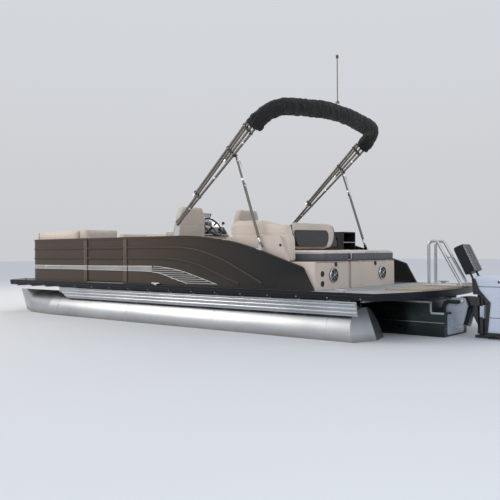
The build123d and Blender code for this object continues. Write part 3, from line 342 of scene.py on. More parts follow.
# look, material name, colour, roughness and other values of its surface
plainLooks = (
    # the white clamp bracket, darkened to blue-grey as painted shade
    ("bracket", "bracketShadedWhite", (0.42, 0.47, 0.53), 0.34, {"metal": 0.3, "coat": 0.4}),
    ("rail", "railBand", (0.007, 0.009, 0.013), 0.40,
     {"grain": 300, "grainBump": 0.05, "coat": 0.04, "coatRough": 0.15, "specular": 0.22}),
    ("railDark", "railDark", (0.012, 0.012, 0.014), 0.45, {"grain": 260, "grainBump": 0.12}),
    ("shell", "mouldedShell", tints["shell"], 0.42,
     {"grainBump": 0.2, "patchBump": 0.1, "spread": 0.06}),
    ("swing", "swingShell", (0.031, 0.027, 0.026), 0.36,
     {"grain": 200, "grainBump": 0.12, "spread": 0.3, "coat": 0.15, "specular": 0.35}),
    ("pole", "poleCoat", tints["pole"], 0.36, {"metal": 0.65, "grain": 320}),
    ("black", "blackPlastic", (0.018, 0.018, 0.020), 0.48, {"grain": 260, "grainBump": 0.2}),
    ("gloss", "glossBlack", (0.010, 0.010, 0.011), 0.16,
     {"grain": 300, "grainBump": 0.02, "coat": 0.8}),
    ("chrome", "chrome", (0.78, 0.79, 0.80), 0.10,
     {"metal": 1.0, "grain": 300, "grainBump": 0.02, "spread": 0.05, "roughSpread": 0.06}),
    ("steel", "brushedSteel", (0.58, 0.58, 0.59), 0.30, {"metal": 1.0}),
    ("silver", "stripeSilver", tints["stripe"], 0.34, {"metal": 0.75, "grainBump": 0.03}),
    ("stripeEdge", "stripeEdge", (0.80, 0.80, 0.80), 0.25,
     {"grainBump": 0.03, "spread": 0.05, "coat": 0.3}),
    # bronze for fittings, and the colour of the painted highlights on the ribs and top edges
    ("bronze", "bronzeAndHighlight", (0.125, 0.094, 0.066), 0.36,
     {"metal": 0.45, "grainBump": 0.08, "spread": 0.10}),
    ("motor", "motorBlack", (0.014, 0.014, 0.016), 0.30, {"coat": 0.5}),
    ("rubber", "rubber", (0.016, 0.016, 0.017), 0.75, {"grain": 180, "grainBump": 0.3}),
    ("navyGloss", "navyGloss", (0.006, 0.012, 0.020), 0.30,
     {"grain": 220, "grainBump": 0.05, "coat": 0.15, "specular": 0.3}),
    ("webbing", "webbing", (0.016, 0.016, 0.017), 0.8, {"grain": 420, "grainBump": 0.5}),
    ("lens", "lampLens", (0.80, 0.82, 0.84), 0.12, {"grain": 200, "grainBump": 0.03, "coat": 0.6}),
)
for look, name, color, rough, more in plainLooks:
    looks[look] = grained(name, color, rough, **more)

nodeLooks = {
    "floor": "deck", "rail": "rub_rail", "platform": "stern_platform", "pod": "motor_pod",
    "tube": "tube_port tube_starboard tube_centre", "frame": "cross_channels tube_risers",
    "skirt": "skirt_port skirt_starboard",
    "fence": "fence_port_aft fence_port_bow fence_starboard side_gate bow_gate",
    "shell": "bow_lounge_base_port bow_lounge_base_starboard aft_lounge_base bench_base",
    "beige": "bow_lounge_pads_port bow_lounge_pads_starboard aft_lounge_pads swing_back_pads"
             " chair_companion chair_helm",
    "charcoal": "bench_pads", "swing": "swing_back", "chrome": "chair_posts bimini_mounts",
    "gelcoat": "helm_console", "glass": "windscreen", "canvas": "bimini_boot",
    "black": "steering_wheel side_cubby stern_speakers ladder_steps",
    "pole": "bimini_poles bimini_struts stern_light", "steel": "ladder_hoops deck_cleats",
    "bracket": "motor_clamp", "motor": "motor_swivel motor_leg propeller", "cowl": "motor_cowl",
    "rubber": "rigging_hose",
}
for look, names in nodeLooks.items():
    for name in names.split():
        mesh = nodes[name].data
        mesh.materials.clear()
        mesh.materials.append(looks[look])
print("stage: materials")


# Shapes

def newPiece(name, mesh, look, body="boat", smooth=40):
    mesh.shade_smooth()
    if smooth:
        mesh.set_sharp_from_angle(angle=math.radians(smooth))
    piece = newObject(name, mesh)
    for one in (look if isinstance(look, list) else [look]):
        mesh.materials.append(looks[one])
    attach(piece, body)
    return piece


def smoothPath(points, steps=6):
    pts = [Vector(p) for p in points]
    count = len(pts)
    out = []
    for i in range(count - 1):
        a, b, c, d = (pts[min(max(i + k, 0), count - 1)] for k in (-1, 0, 1, 2))
        for t in (k / steps for k in range(steps)):
            out.append(0.5 * ((2 * b) + (c - a) * t + (2 * a - 5 * b + 4 * c - d) * t * t
                              + (3 * b - a - 3 * c + d) * t ** 3))
    return out + [pts[-1]]


def closeWith(part, rings, faces=True):
    # side faces between neighbouring rings of points, then the two end faces
    for low, high in zip(rings, rings[1:]):
        count = max(len(low), len(high))
        for k in range(count):
            n = (k + 1) % count
            face = (low[k % len(low)], low[n % len(low)], high[n % len(high)], high[k % len(high)])
            part.faces.new(list(dict.fromkeys(face)))
    for ring in ((rings[0][::-1], rings[-1]) if faces else ()):
        if len(ring) > 1:
            part.faces.new(ring)


def loft(*outlines):
    # a closed solid between outlines of as many points each
    part = bmesh.new()
    closeWith(part, [[part.verts.new(p) for p in outline] for outline in outlines])
    bmesh.ops.recalc_face_normals(part, faces=part.faces[:])
    return part


def roundEdges(part, edges, radius, profile=0.6):
    bmesh.ops.bevel(part, geom=edges, offset=radius, segments=2, affect="EDGES", profile=profile)


def boxPart(low, high, bevel=0.0, turn=None):
    low, high = Vector(low), Vector(high)
    part = bmesh.new()
    bmesh.ops.create_cube(part, size=1)
    for vert in part.verts:
        vert.co = Vector(vert.co[i] * (high[i] - low[i]) + (high[i] + low[i]) / 2
                         for i in range(3))
    if bevel:
        roundEdges(part, part.edges[:], bevel)
    if turn:
        part.transform(turn)
    return part


class Batch:
    # collects many small shapes of one look into one mesh

    def __init__(self):
        self.bm = bmesh.new()

    def circle(self, middle, side, other, radius, sides):
        return [self.bm.verts.new(middle + (side * math.cos(a) + other * math.sin(a)) * radius)
                for a in (2 * math.pi * k / sides for k in range(sides))]

    def tube(self, points, radius, sides=12, closed=False):
        pts = [Vector(p) for p in points]
        count = len(pts)
        rings = []
        side = None
        for i in range(count):
            after = pts[(i + 1) % count] if closed else pts[min(i + 1, count - 1)]
            before = pts[i - 1] if closed else pts[max(i - 1, 0)]
            way = (after - before).normalized()
            if side is None:
                side = way.orthogonal().normalized()
            side = (side - way * side.dot(way)).normalized()
            rings.append(self.circle(pts[i], side, way.cross(side), radius, sides))
        if closed:
            # the last ring may be turned against the first
            first, last = rings[0], rings[-1]
            shift = min(range(sides), key=lambda k: (first[k].co - last[0].co).length)
            rings.append(first[shift:] + first[:shift])
        closeWith(self.bm, rings, not closed)

    def box(self, low, high, bevel=0.0, turn=None):
        self.take(boxPart(low, high, bevel, turn))

    def take(self, part):
        scratch = bpy.data.meshes.new("scratch")
        part.to_mesh(scratch)
        part.free()
        self.bm.from_mesh(scratch)
        bpy.data.meshes.remove(scratch)

    def lathe(self, place, way, profile, sides=24, caps=True):
        # profile: (radius, distance along the axis) pairs
        place, way = Vector(place), Vector(way).normalized()
        side = way.orthogonal().normalized()
        other = way.cross(side)
        rings = [self.circle(place + way * h, side, other, r, sides) if r
                 else [self.bm.verts.new(place + way * h)] for r, h in profile]
        closeWith(self.bm, rings, caps)

    def plate(self, outline, origin, right, up, depth, bevel=0.0):
        # outline in (right, up); depth goes along right x up
        origin, right, up = Vector(origin), Vector(right), Vector(up)
        out = right.cross(up).normalized()
        part = bmesh.new()
        base = [part.verts.new(origin + right * x + up * y) for x, y in outline]
        made = bmesh.ops.extrude_face_region(part, geom=[part.faces.new(base)])
        lifted = [v for v in made["geom"] if isinstance(v, bmesh.types.BMVert)]
        for vert in lifted:
            vert.co += out * depth
        bmesh.ops.recalc_face_normals(part, faces=part.faces[:])
        if bevel:
            roundEdges(part, [e for e in part.edges if all(v in lifted for v in e.verts)], bevel)
        self.take(part)

    def bolt(self, place, way, radius=0.006, height=0.003):
        self.lathe(place, way, ((radius, 0), (radius, height * 0.4),
                                (radius * 0.75, height * 0.85), (0, height)), 10)

    def done(self, name, look, body="boat", smooth=40):
        bmesh.ops.recalc_face_normals(self.bm, faces=self.bm.faces[:])
        mesh = bpy.data.meshes.new(name)
        self.bm.to_mesh(mesh)
        self.bm.free()
        return newPiece(name, mesh, look, body, smooth)


box, bolt, lathe, plate, tube = Batch.box, Batch.bolt, Batch.lathe, Batch.plate, Batch.tube


def build(name, look, *shapes, body="boat", smooth=40):
    # one piece of many shapes, each given as its kind and values
    batch = Batch()
    for shape, *values in shapes:
        shape(batch, *values)
    return batch.done(name, look, body, smooth)


def roundCorners(points, radius, steps=5):
    # points (x, y) of a closed outline
    out = []
    for i, point in enumerate(points):
        b = Vector(point)
        a = Vector(points[i - 1]) - b
        c = Vector(points[(i + 1) % len(points)]) - b
        r = min(radius, a.length * 0.45, c.length * 0.45)
        start, end = b + a.normalized() * r, b + c.normalized() * r
        for t in (k / steps for k in range(steps + 1)):
            out.append(tuple(start * (1 - t) ** 2 + b * 2 * t * (1 - t) + end * t * t))
    return out


def rectangle(x0, y0, x1, y1, radius):
    return roundCorners([(x0, y0), (x1, y0), (x1, y1), (x0, y1)], radius)


def filleted(points, radii, steps=10):
    # an open line with true arcs at its corners
    out = [points[0]]
    for i in range(1, len(points) - 1):
        a = (points[i - 1] - points[i]).normalized()
        c = (points[i + 1] - points[i]).normalized()
        half = a.angle(c) / 2
        reach = radii[i - 1] / math.tan(half)
        centre = points[i] + (a + c).normalized() * (radii[i - 1] / math.sin(half))
        start, end = points[i] + a * reach - centre, points[i] + c * reach - centre
        out += [centre + start.slerp(end, k / steps).normalized() * radii[i - 1]
                for k in range(steps + 1)]
    return out + [points[-1]]


# Soft goods

def islands(node):
    # loose solids of a CAD node, as separate meshes
    bm = bmesh.new()
    bm.from_mesh(nodes[node].data)
    bmesh.ops.remove_doubles(bm, verts=bm.verts[:], dist=1e-5)
    left = dict.fromkeys(bm.verts)
    found = []
    while left:
        queue = [next(iter(left))]
        group = dict.fromkeys(queue)
        while queue:
            vert = queue.pop()
            for edge in vert.link_edges:
                other = edge.other_vert(vert)
                if other not in group:
                    group[other] = None
                    queue.append(other)
        left = {v: None for v in left if v not in group}
        part = bmesh.new()
        table = {v: part.verts.new(v.co) for v in group}
        for face in {f: None for v in group for f in v.link_faces}:
            part.faces.new([table[v] for v in face.verts])
        bmesh.ops.recalc_face_normals(part, faces=part.faces[:])
        found.append(part)
    bm.free()
    return found


def corners(part):
    places = [v.co for v in part.verts]
    return (Vector(min(v[i] for v in places) for i in range(3)),
            Vector(max(v[i] for v in places) for i in range(3)))


cushionSettings = {
    "fill": 0.75,
    "pipe": 0.0042,
    # scales of the surface's unevenness and how high it stands
    "waves": (9.0, 34.0),
    "pucker": 0.0016,
}
clothSettings = {
    "frames": 14,
    "solver": {"quality": 4, "mass": 0.3, "tension_stiffness": 12.0,
               "compression_stiffness": 12.0, "bending_stiffness": 0.4, "use_pressure": True,
               "uniform_pressure_force": 4.0},
}


def evaluated(holder):
    # the mesh after the modifiers, in place of the holder and its mesh
    result = bpy.data.meshes.new_from_object(holder.evaluated_get(
        bpy.context.evaluated_depsgraph_get()))
    bpy.context.scene.frame_set(1)
    used = holder.data
    bpy.data.objects.remove(holder)
    bpy.data.meshes.remove(used)
    return result


def softMesh(part, voxel=0.011, relax=10, shrink=0.0):
    # a remeshed and relaxed copy of a closed shape
    scratch = bpy.data.meshes.new("soft")
    part.to_mesh(scratch)
    part.free()
    holder = newObject("softHolder", scratch)
    remesh = holder.modifiers.new("remesh", "REMESH")
    remesh.mode = "VOXEL"
    remesh.voxel_size = voxel
    smooth = holder.modifiers.new("relax", "SMOOTH")
    smooth.factor = 0.5
    smooth.iterations = relax
    if shrink:
        inset = holder.modifiers.new("inset", "DISPLACE")
        inset.strength = -shrink
        inset.mid_level = 0.0
    return evaluated(holder)


def arrays(mesh):
    count = len(mesh.vertices)
    places, normals = np.empty(count * 3), np.empty(count * 3)
    mesh.vertices.foreach_get("co", places)
    mesh.vertex_normals.foreach_get("vector", normals)
    return places.reshape(-1, 3), normals.reshape(-1, 3)


def putBack(mesh, places):
    mesh.vertices.foreach_set("co", places.ravel())
    mesh.update()


def inflate(mesh, cap):
    # fills a pad with air under Cloth; no point moves further than the cap
    start = arrays(mesh)[0]
    holder = newObject("padHolder", mesh)
    cloth = holder.modifiers.new("cloth", "CLOTH")
    for key, value in clothSettings["solver"].items():
        setattr(cloth.settings, key, value)
    cloth.settings.effector_weights.gravity = 0
    cloth.collision_settings.use_collision = False
    cloth.point_cache.frame_start = 1
    cloth.point_cache.frame_end = clothSettings["frames"]
    for number in range(clothSettings["frames"]):
        bpy.context.scene.frame_set(number + 1)
    result = evaluated(holder)
    move = arrays(result)[0] - start
    far = np.linalg.norm(move, axis=1)
    putBack(result, start + move * np.minimum(1, cap / np.maximum(far, 1e-9))[:, None])
    return result


def grain(places, scale, seed):
    return np.array([noise.noise(Vector(p * scale) + Vector((seed, seed * 1.7, -seed)))
                     for p in places])


def crown(mesh, rise, pull, seams, seed, axes=None):
    # faces swell, edges between corners pull in, and each seam sinks
    places, normals = arrays(mesh)
    turn = np.array(axes) if axes else np.eye(3)
    local = places @ turn.T
    low, high = local.min(0), local.max(0)
    middle, half = (low + high) / 2, np.maximum((high - low) / 2, 1e-4)
    q = np.clip((local - middle) / half, -1, 1)
    thinnest = int(np.argmin(half))
    others = [i for i in range(3) if i != thinnest]
    face = (1 - np.abs(q[:, others[0]]) ** 3) * (1 - np.abs(q[:, others[1]]) ** 3)
    out = normals @ turn.T
    move = out * (np.clip(np.abs(out[:, thinnest]), 0, 1) ** 2 * face * rise)[:, None]
    for i, j in (others, others[::-1]):
        waist = (1 - q[:, j] ** 2) * np.abs(out[:, i]) ** 2
        move[:, i] -= np.sign(q[:, i]) * pull * waist
    near = np.zeros(len(places))
    for point, way, depth, width in seams:
        away = (places - np.array(point)) @ np.array(way)
        move -= out * (np.exp(-(away / width) ** 2) * depth)[:, None]
        near = np.maximum(near, np.exp(-(away / (width * 5)) ** 2))
    broad, fine = (grain(places, scale, seed + 3 * i)
                   for i, scale in enumerate(cushionSettings["waves"]))
    rough = (broad + fine * (0.35 + 1.3 * near)) * cushionSettings["pucker"]
    putBack(mesh, (local + move + out * rough[:, None]) @ turn)


def sections(mesh, point, way):
    # the lines in which a plane cuts a mesh, without short ones
    bm = bmesh.new()
    bm.from_mesh(mesh)
    bmesh.ops.remove_doubles(bm, verts=bm.verts[:], dist=1e-5)
    cut = bmesh.ops.bisect_plane(bm, geom=bm.verts[:] + bm.edges[:] + bm.faces[:],
                                 plane_co=Vector(point), plane_no=Vector(way), dist=1e-6)
    links = {}
    for edge in cut["geom_cut"]:
        if isinstance(edge, bmesh.types.BMEdge):
            for vert in edge.verts:
                links.setdefault(vert, []).append(edge.other_vert(vert))
    lines = []
    left = dict.fromkeys(links)
    while left:
        line = [next(iter(left))]
        del left[line[0]]
        while following := [v for v in links[line[-1]] if v in left]:
            line.append(following[0])
            del left[following[0]]
        if len(line) > 8:
            lines.append([v.co.copy() for v in line])
    bm.free()
    return lines


def thin(line, gap=0.012):
    kept = [line[0]]
    for point in line[1:]:
        if (point - kept[-1]).length > gap:
            kept.append(point)
    return kept


def level(z):
    return (0, 0, z), upward


def cushion(name, part, look, body, replaced, voxel, relax, rise, seed, seams=(), cuts=(),
            pull=0.006, axes=None, split=None, swell=0.012):
    # seams: point, way across, depth and width; cuts: point and way of each line of piping
    mesh = softMesh(part, voxel, relax, swell * 0.2)
    mesh = inflate(mesh, swell)
    crown(mesh, rise * 0.5, pull, seams, seed, axes)
    print(f"pad {name}: {len(mesh.vertices)} points")
    piece = newPiece(name, mesh, look, body, 0)
    if split:
        for polygon in mesh.polygons:
            polygon.material_index = split(polygon.center, polygon.normal)
    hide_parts(replaced)
    if cuts:
        welts = Batch()
        for point, way in cuts:
            for line in sections(mesh, point, way):
                line = thin(line)
                if len(line) > 4:
                    closed = (line[0] - line[-1]).length < 0.04
                    welts.tube(line, cushionSettings["pipe"], 6, closed)
        welts.done(name + "Piping", "piping", body, 60)


# Studio

stageSettings = {
    "floor": 60,
    # horizon, top and strength of what lights the boat, and of what camera, metal and glass see
    "skies": (((0.80, 0.81, 0.83), (0.62, 0.68, 0.78), 0.85),
              ((0.60, 0.61, 0.63), (0.78, 0.83, 0.90), 1.0)),
    # name, place, aimed at, size, power, colour
    "lamps": (("key", (8.0, 7.5, 7.0), (0, 0.5, 0.5), 5.0, 430, (1.0, 0.91, 0.80)),
              ("rim", (6.0, -8.0, 5.0), (0, 0, 1.0), 5.0, 240, (1.0, 0.90, 0.76)),
              ("fill", (-8.0, 7.0, 4.5), (-1.5, 0, 0.5), 6.0, 130, (0.86, 0.93, 1.0))),
    "lens": 49.18,
    "place": (-6.874, 7.310, 0.954),
    "right": (-0.763, -0.647, -0.007),
    "up": (-0.006, -0.003, 1.000),
}


def makeStage():
    size = stageSettings["floor"]
    mesh = bpy.data.meshes.new("floor")
    mesh.from_pydata([(-size, -size, 0), (size, -size, 0), (size, size, 0), (-size, size, 0)], [],
                     [(0, 1, 2, 3)])
    paper = Shader("floorPaper")
    mesh.materials.append(paper.surface(rough=0.9, color=paper.mix(
        paper.noise(0.4, detail=3), (0.82, 0.823, 0.827), (0.86, 0.862, 0.866))))
    newObject("floor", mesh)

    world = bpy.data.worlds.new("studio")
    bpy.context.scene.world = world
    world.use_nodes = True
    s = Nodes(world.node_tree)
    coords = s.add("ShaderNodeTexCoord").outputs["Generated"]
    height = s.add("ShaderNodeSeparateXYZ", {"Vector": coords}).outputs["Z"]
    grounds = []
    for horizon, top, strength in stageSettings["skies"]:
        ramp = s.add("ShaderNodeValToRGB", {"Fac": height})
        for element, color in zip(ramp.color_ramp.elements, (horizon, top)):
            element.color = (*color, 1)
        grounds.append(s.add("ShaderNodeBackground", {"Color": ramp.outputs["Color"],
                                                      "Strength": strength}).outputs[0])
    rays = s.add("ShaderNodeLightPath").outputs
    seen = s.math("MAXIMUM", rays["Is Camera Ray"], rays["Is Glossy Ray"])
    seen = s.math("MAXIMUM", seen, rays["Is Transmission Ray"])
    choose = s.add("ShaderNodeMixShader", {"Fac": seen, 1: grounds[0], 2: grounds[1]})
    s.put(s.tree.nodes["World Output"].inputs["Surface"], choose.outputs[0])

    for name, place, aim, size, power, color in stageSettings["lamps"]:
        data = bpy.data.lights.new(name, "AREA")
        data.size, data.energy, data.color = size, power, color
        lamp = newObject(name, data)
        lamp.location = place
        lamp.rotation_euler = (Vector(aim) - Vector(place)).to_track_quat("-Z", "Y").to_euler()

    camera = newObject("camera", bpy.data.cameras.new("camera"))
    right = Vector(stageSettings["right"]).normalized()
    up = Vector(stageSettings["up"])
    up = (up - right * up.dot(right)).normalized()
    camera.matrix_world = moved(stageSettings["place"], turned(right, up, right.cross(up)))
    camera.data.sensor_width = 36
    camera.data.lens = stageSettings["lens"]
    camera.data.clip_end = 200
    bpy.context.scene.camera = camera
    bpy.context.scene.view_settings.view_transform = "Standard"


makeStage()
print("stage: studio")


# Rigging hose

hoseSettings = {
    "route": ((-3.615, 0.164, 0.2663), (-3.615, 0.164, 0.3863), (-3.755, 0.164, 0.382),
              (-3.793, 0.164, 0.382)),
    "radius": 0.021,
}


def makeHose():
    curve = bpy.data.curves.new("riggingHose", "CURVE")
    curve.dimensions = "3D"
    spline = curve.splines.new("NURBS")
    spline.points.add(len(hoseSettings["route"]) - 1)
    for point, place in zip(spline.points, hoseSettings["route"]):
        point.co = (*place, 1)
    spline.order_u = 3
    spline.use_endpoint_u = True
    curve.resolution_u = 24
    curve.bevel_depth = hoseSettings["radius"]
    curve.bevel_resolution = 8
    curve.use_fill_caps = True
    curve.materials.append(looks["rubber"])
    hose = newObject("riggingHose", curve)
    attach(hose, "boat")
    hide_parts("rigging_hose")
    # the same line without its thickness, as points
    bare = curve.copy()
    bare.bevel_depth = 0
    scratch = bpy.data.objects.new("hoseLine", bare)
    line = [v.co.copy() for v in bpy.data.meshes.new_from_object(scratch).vertices]
    bpy.data.objects.remove(scratch)


makeHose()
print("stage: hose")


# Fence

fenceSettings = {
    "outside": 1.225,
    # from the stern: the bow's corner, the gate, and the fence's ends beside it
    "corner": 6.11,
    "gate": (4.004, 4.796),
    "ends": (3.902, 4.892),
    # height on deck, where it would turn down, foot from the stern, foot on deck
    "ribs": ((0.491, 2.450, 1.510, 0.066), (0.345, 2.750, 1.862, 0.046)),
    # the stripe's edges, from the stern and on deck
    "upper": ((6.11, 0.241), (4.988, 0.241), (3.89, 0.245), (3.557, 0.248), (3.239, 0.241),
              (2.862, 0.196), (2.505, 0.111), (2.216, 0.034)),
    "lower": ((6.11, 0.190), (4.989, 0.186), (3.89, 0.182), (3.477, 0.177), (3.24, 0.154),
              (2.974, 0.091), (2.736, 0.034)),
    # side, from, to, body, and how far it stands out
    "stripes": ((1, 3.40, 3.898, "boat", 0), (-1, 3.40, 4.892, "boat", 0),
                (1, 3.902, 3.99, "boat", 0.0085), (1, 4.80, 4.888, "boat", 0.0085),
                (1, 4.004, 4.796, "side_gate", 0)),
    "stripeLift": 0.0016,
    "hatchPitch": 0.0255,
}


def lineAt(points, s):
    for (s1, z1), (s0, z0) in zip(points, points[1:]):
        if s0 <= s <= s1:
            return z0 + (z1 - z0) * (s - s0) / (s1 - s0)
    return points[-1][1]


def band(batch, line, half, thick, drop=0.0):
    # a flat strip along (place, outward) pairs; drop moves it across its own width
    rows = []
    for i, (place, out) in enumerate(line):
        way = (line[min(i + 1, len(line) - 1)][0] - line[max(i - 1, 0)][0]).normalized()
        up = out.cross(way).normalized()
        up = -up if up.z < 0 else up
        rows.append([batch.bm.verts.new(place + up * (a - drop) + out * b)
                     for a, b in ((-half, -0.001), (-half, thick), (half, thick), (half, -0.001))])
    closeWith(batch.bm, rows)


def sheetLine(points, y):
    # a line on an upright sheet at y, as (place, outward) pairs
    return [(spot(s, y, z), Vector((0, math.copysign(1, y), 0))) for s, z in points]


def sideLine(points, side, proud=0.0):
    return sheetLine(points, side * (fenceSettings["outside"] + proud))


def bowLine(z, side, start, proud=0.0):
    # level, forward along the side, round the bow corner and in towards the gate
    r, corner = 0.25 + proud, fenceSettings["corner"]
    line = sideLine([(start + (corner - start) * k / 6, z) for k in range(7)], side, proud)
    for a in (math.radians(7.5 * k) for k in range(11, -1, -1)):
        out = Vector((math.cos(a), side * math.sin(a), 0))
        line.append((spot(corner, side * 0.975, z) + out * r, out))
    return line + [(spot(corner + r, side * 0.44, z), Vector(ahead))]


def gateLine(z, proud=0.0):
    return sideLine([(s, z) for s in fenceSettings["gate"]], 1, proud)


def bent(points, radius, steps):
    return [(p.x, p.y) for p in filleted([Vector((*p, 0)) for p in points], [radius], steps)]


def donePairs(pairs, *kinds):
    for body, batches in pairs.items():
        for batch, (name, look) in zip(batches, kinds):
            batch.done(name + ("Gate" if body == "side_gate" else ""), look, body)


def makeRibs():
    # painted shadow lines over the ribs, with a painted highlight above each
    pairs = {"boat": (Batch(), Batch()), "side_gate": (Batch(), Batch())}
    for height, turn, footS, footZ in fenceSettings["ribs"]:
        lines = [("side_gate", gateLine(height, 0.0062))]
        for side, front in zip(sides, fenceSettings["ends"]):
            path = bent([(footS, footZ), (turn, height), (front, height)], 2.6, 16)
            lines += [("boat", sideLine(path, side, 0.0062)),
                      ("boat", bowLine(height, side, fenceSettings["ends"][1], 0.0062))]
        for body, line in lines:
            dark, lit = pairs[body]
            band(dark, line, 0.0086, 0.0016)
            band(lit, line, 0.0034, 0.0030, -0.0112)
            # the upper rib also gets a thin painted highlight along its middle
            if height > 0.4:
                band(lit, line, 0.0014, 0.0024)
    donePairs(pairs, ("ribPaintedShadow", "railDark"), ("ribPaintedHighlight", "bronze"))


def makeStripes():
    lower, upper = ([(p.x, p.y) for p in smoothPath([(*p, 0) for p in fenceSettings[edge]], 5)]
                    for edge in ("lower", "upper"))
    pairs = {"boat": (Batch(), Batch()), "side_gate": (Batch(), Batch())}
    lift = fenceSettings["stripeLift"]
    for side, s0, s1, body, proud in fenceSettings["stripes"]:
        silver, edge = pairs[body]
        y = side * (fenceSettings["outside"] + proud + lift)
        rows = [s0 + (s1 - s0) * k / 12 for k in range(13)]
        verts = [[silver.bm.verts.new(spot(s, y, lineAt(line, s))) for line in (lower, upper)]
                 for s in rows]
        for last, pair in zip(verts, verts[1:]):
            silver.bm.faces.new((last[0], pair[0], pair[1], last[1]))
        for line, half in ((lower, 0.0022), (upper, 0.0034)):
            band(edge, sideLine([(s, lineAt(line, s)) for s in rows], side, proud), half, 0.0030)
    silver, edge = pairs["boat"]
    for side in sides:
        start = fenceSettings["ends"][1]
        band(silver, bowLine(0.2155, side, start), 0.0255, lift)
        for z, half in ((0.190, 0.0022), (0.241, 0.0034)):
            band(edge, bowLine(z, side, start), half, 0.0030)
        for line in (lower, upper):
            band(edge, sideLine([p for p in line if p[0] < 3.42][::-1], side), 0.0030, 0.0030)
        # the hatched tail
        for z in (0.040 + fenceSettings["hatchPitch"] * k for k in range(8)):
            low = min([s for s, h in lower if h >= z] or [3.40])
            high = min(s for s, h in upper if h >= z)
            if low - high > 0.03:
                band(silver, sideLine([(high, z), (min(low, 3.41), z)], side), 0.0052, 0.0024)
    donePairs(pairs, ("stripe", "silver"), ("stripeEdge", "stripeEdge"))


def makeFenceTrim():
    outside, ends = fenceSettings["outside"], fenceSettings["ends"]
    footBolts = [(side, 1.25 + 0.37 * k) for side in sides for k in range(14)]
    build("fenceBolts", "bronze",
          *((bolt, spot(s, outside + 0.0082, z), toPort)
            for s in (3.93, 3.965, 4.825, 4.86) for z in (0.06, 0.32, 0.58)),
          *((bolt, spot(s, side * outside + 0.0003, 0.022), (0, side, 0), 0.0055)
            for side, s in footBolts if side < 0 or not 3.85 < s < 4.92))
    # each strip: across, half its thickness, front, foot, top, bevel
    strips = ((outside - 0.0395, 0.004, 6.05, 0, 0.030, 0.003),
              (1.2268, 0.0015, 3.89, 0.001, 0.016, 0.001))
    build("fenceFoot", "railDark",
          *((box, spot(0.86, side * y - half, low), spot(s, side * y + half, high), bevel)
            for side in sides for y, half, s, low, high, bevel in strips))
    build("gatePostFaces", "bronze",
          *((box, spot(s - 0.036, 1.2328, 0.02), spot(s + 0.036, 1.2345, 0.612), 0.0006)
            for s in (3.946, 4.844)))
    # painted highlights along the top edges of the fence and the gate
    top = []
    for side, front in zip(sides, (3.985, 4.892)):
        arc = bent([(0.945, 0.260), (2.164, 0.644), (front, 0.644)], 4.5, 18)
        arc = sideLine([p for p in arc if p[0] > 2.1], side, 0.0052)
        top += [(band, arc, 0.0030, 0.0010, 0.0035),
                (band, bowLine(0.6405, side, 4.805, 0.0052), 0.0030, 0.0010),
                (band, bowLine(0.616, side, ends[1], 0.0052), 0.0016, 0.0010)]
    build("fenceTopHighlight", "bronze", *top)
    build("gateTopHighlight", "bronze", (band, gateLine(0.6405, 0.0052), 0.0030, 0.0010),
          body="side_gate")
    build("gateLatch", "chrome", (box, spot(4.02, 1.170, 0.50), spot(4.09, 1.192, 0.56), 0.006),
          (lathe, spot(4.05, 1.172, 0.53), toStarboard,
           ((0.014, 0), (0.014, 0.012), (0.010, 0.018), (0, 0.020)), 20), body="side_gate")
    build("gateKeeper", "steel",
          (box, spot(3.945, 1.176, 0.51), spot(3.984, 1.1925, 0.55), 0.004),
          (box, spot(3.99, 1.165, 0.0005), spot(4.80, 1.232, 0.010), 0.003))
    build("bowGateLatch", "chrome",
          (box, spot(6.318, -0.375, 0.50), spot(6.332, -0.31, 0.56), 0.005), body="bow_gate")
    build("fenceDockLights", "chrome",
          *((lathe, spot(5.86, side * 1.2268, 0.216), (0, side, 0),
             ((0.014, 0), (0.014, 0.004), (0.010, 0.007), (0, 0.007)), 20) for side in sides))
    build("bowLightCases", "chrome",
          *((box, spot(6.361, side * 0.86 - 0.03, 0.585), spot(6.372, side * 0.86 + 0.03, 0.607),
             0.004) for side in sides))


makeRibs()
makeStripes()
makeFenceTrim()
print("stage: fence")


# Hull trim

hullSettings = {"tubes": (0.955, 0.0, -0.955), "axis": 0.030, "radius": 0.3175,
                "seams": (5.52, 3.9, 2.28, 0.62), "strakeAngle": -38}


def makeHullTrim():
    axis, radius = hullSettings["axis"], hullSettings["radius"]
    reach, strake = radius + 0.0003, math.radians(hullSettings["strakeAngle"])
    z = axis + radius * math.sin(strake)
    turns = [2 * math.pi * k / 48 for k in range(48)]
    seams = []
    for y in hullSettings["tubes"]:
        # the centre tube ends further forward
        seams += [(tube, [(at(s), y + reach * math.cos(a), axis + reach * math.sin(a))
                          for a in turns], 0.0028, 6, True)
                  for s in hullSettings["seams"] if y or s > 0.7]
        for side in sides:
            across = y + side * (radius * math.cos(strake) + 0.010)
            seams.append((box, (at(0.55 if y else 0.75), across - 0.016, z - 0.006),
                          (at(5.6), across + 0.010, z + 0.006), 0.004))
    build("tubeSeams", "skirt", *seams)
    channels = [(side, at(0.161 + 0.406 * k)) for side in sides for k in range(17)]
    build("channelEnds", "frame",
          *((box, (x - 0.02, side * 1.215 - 0.004, 0.424), (x + 0.02, side * 1.215 + 0.004, 0.494),
             0.002) for side, x in channels))
    build("railRivets", "steel",
          *((bolt, (x, side * 1.2948, 0.455), (0, side, 0)) for side, x in channels))
    build("tubePlugs", "steel",
          *((lathe, (at(0.42), side * 0.955, 0.3472), upward,
             ((0.02, 0), (0.02, 0.006), (0.012, 0.012), (0, 0.012)), 18) for side in sides))


makeHullTrim()
print("stage: hull")


# Cushions

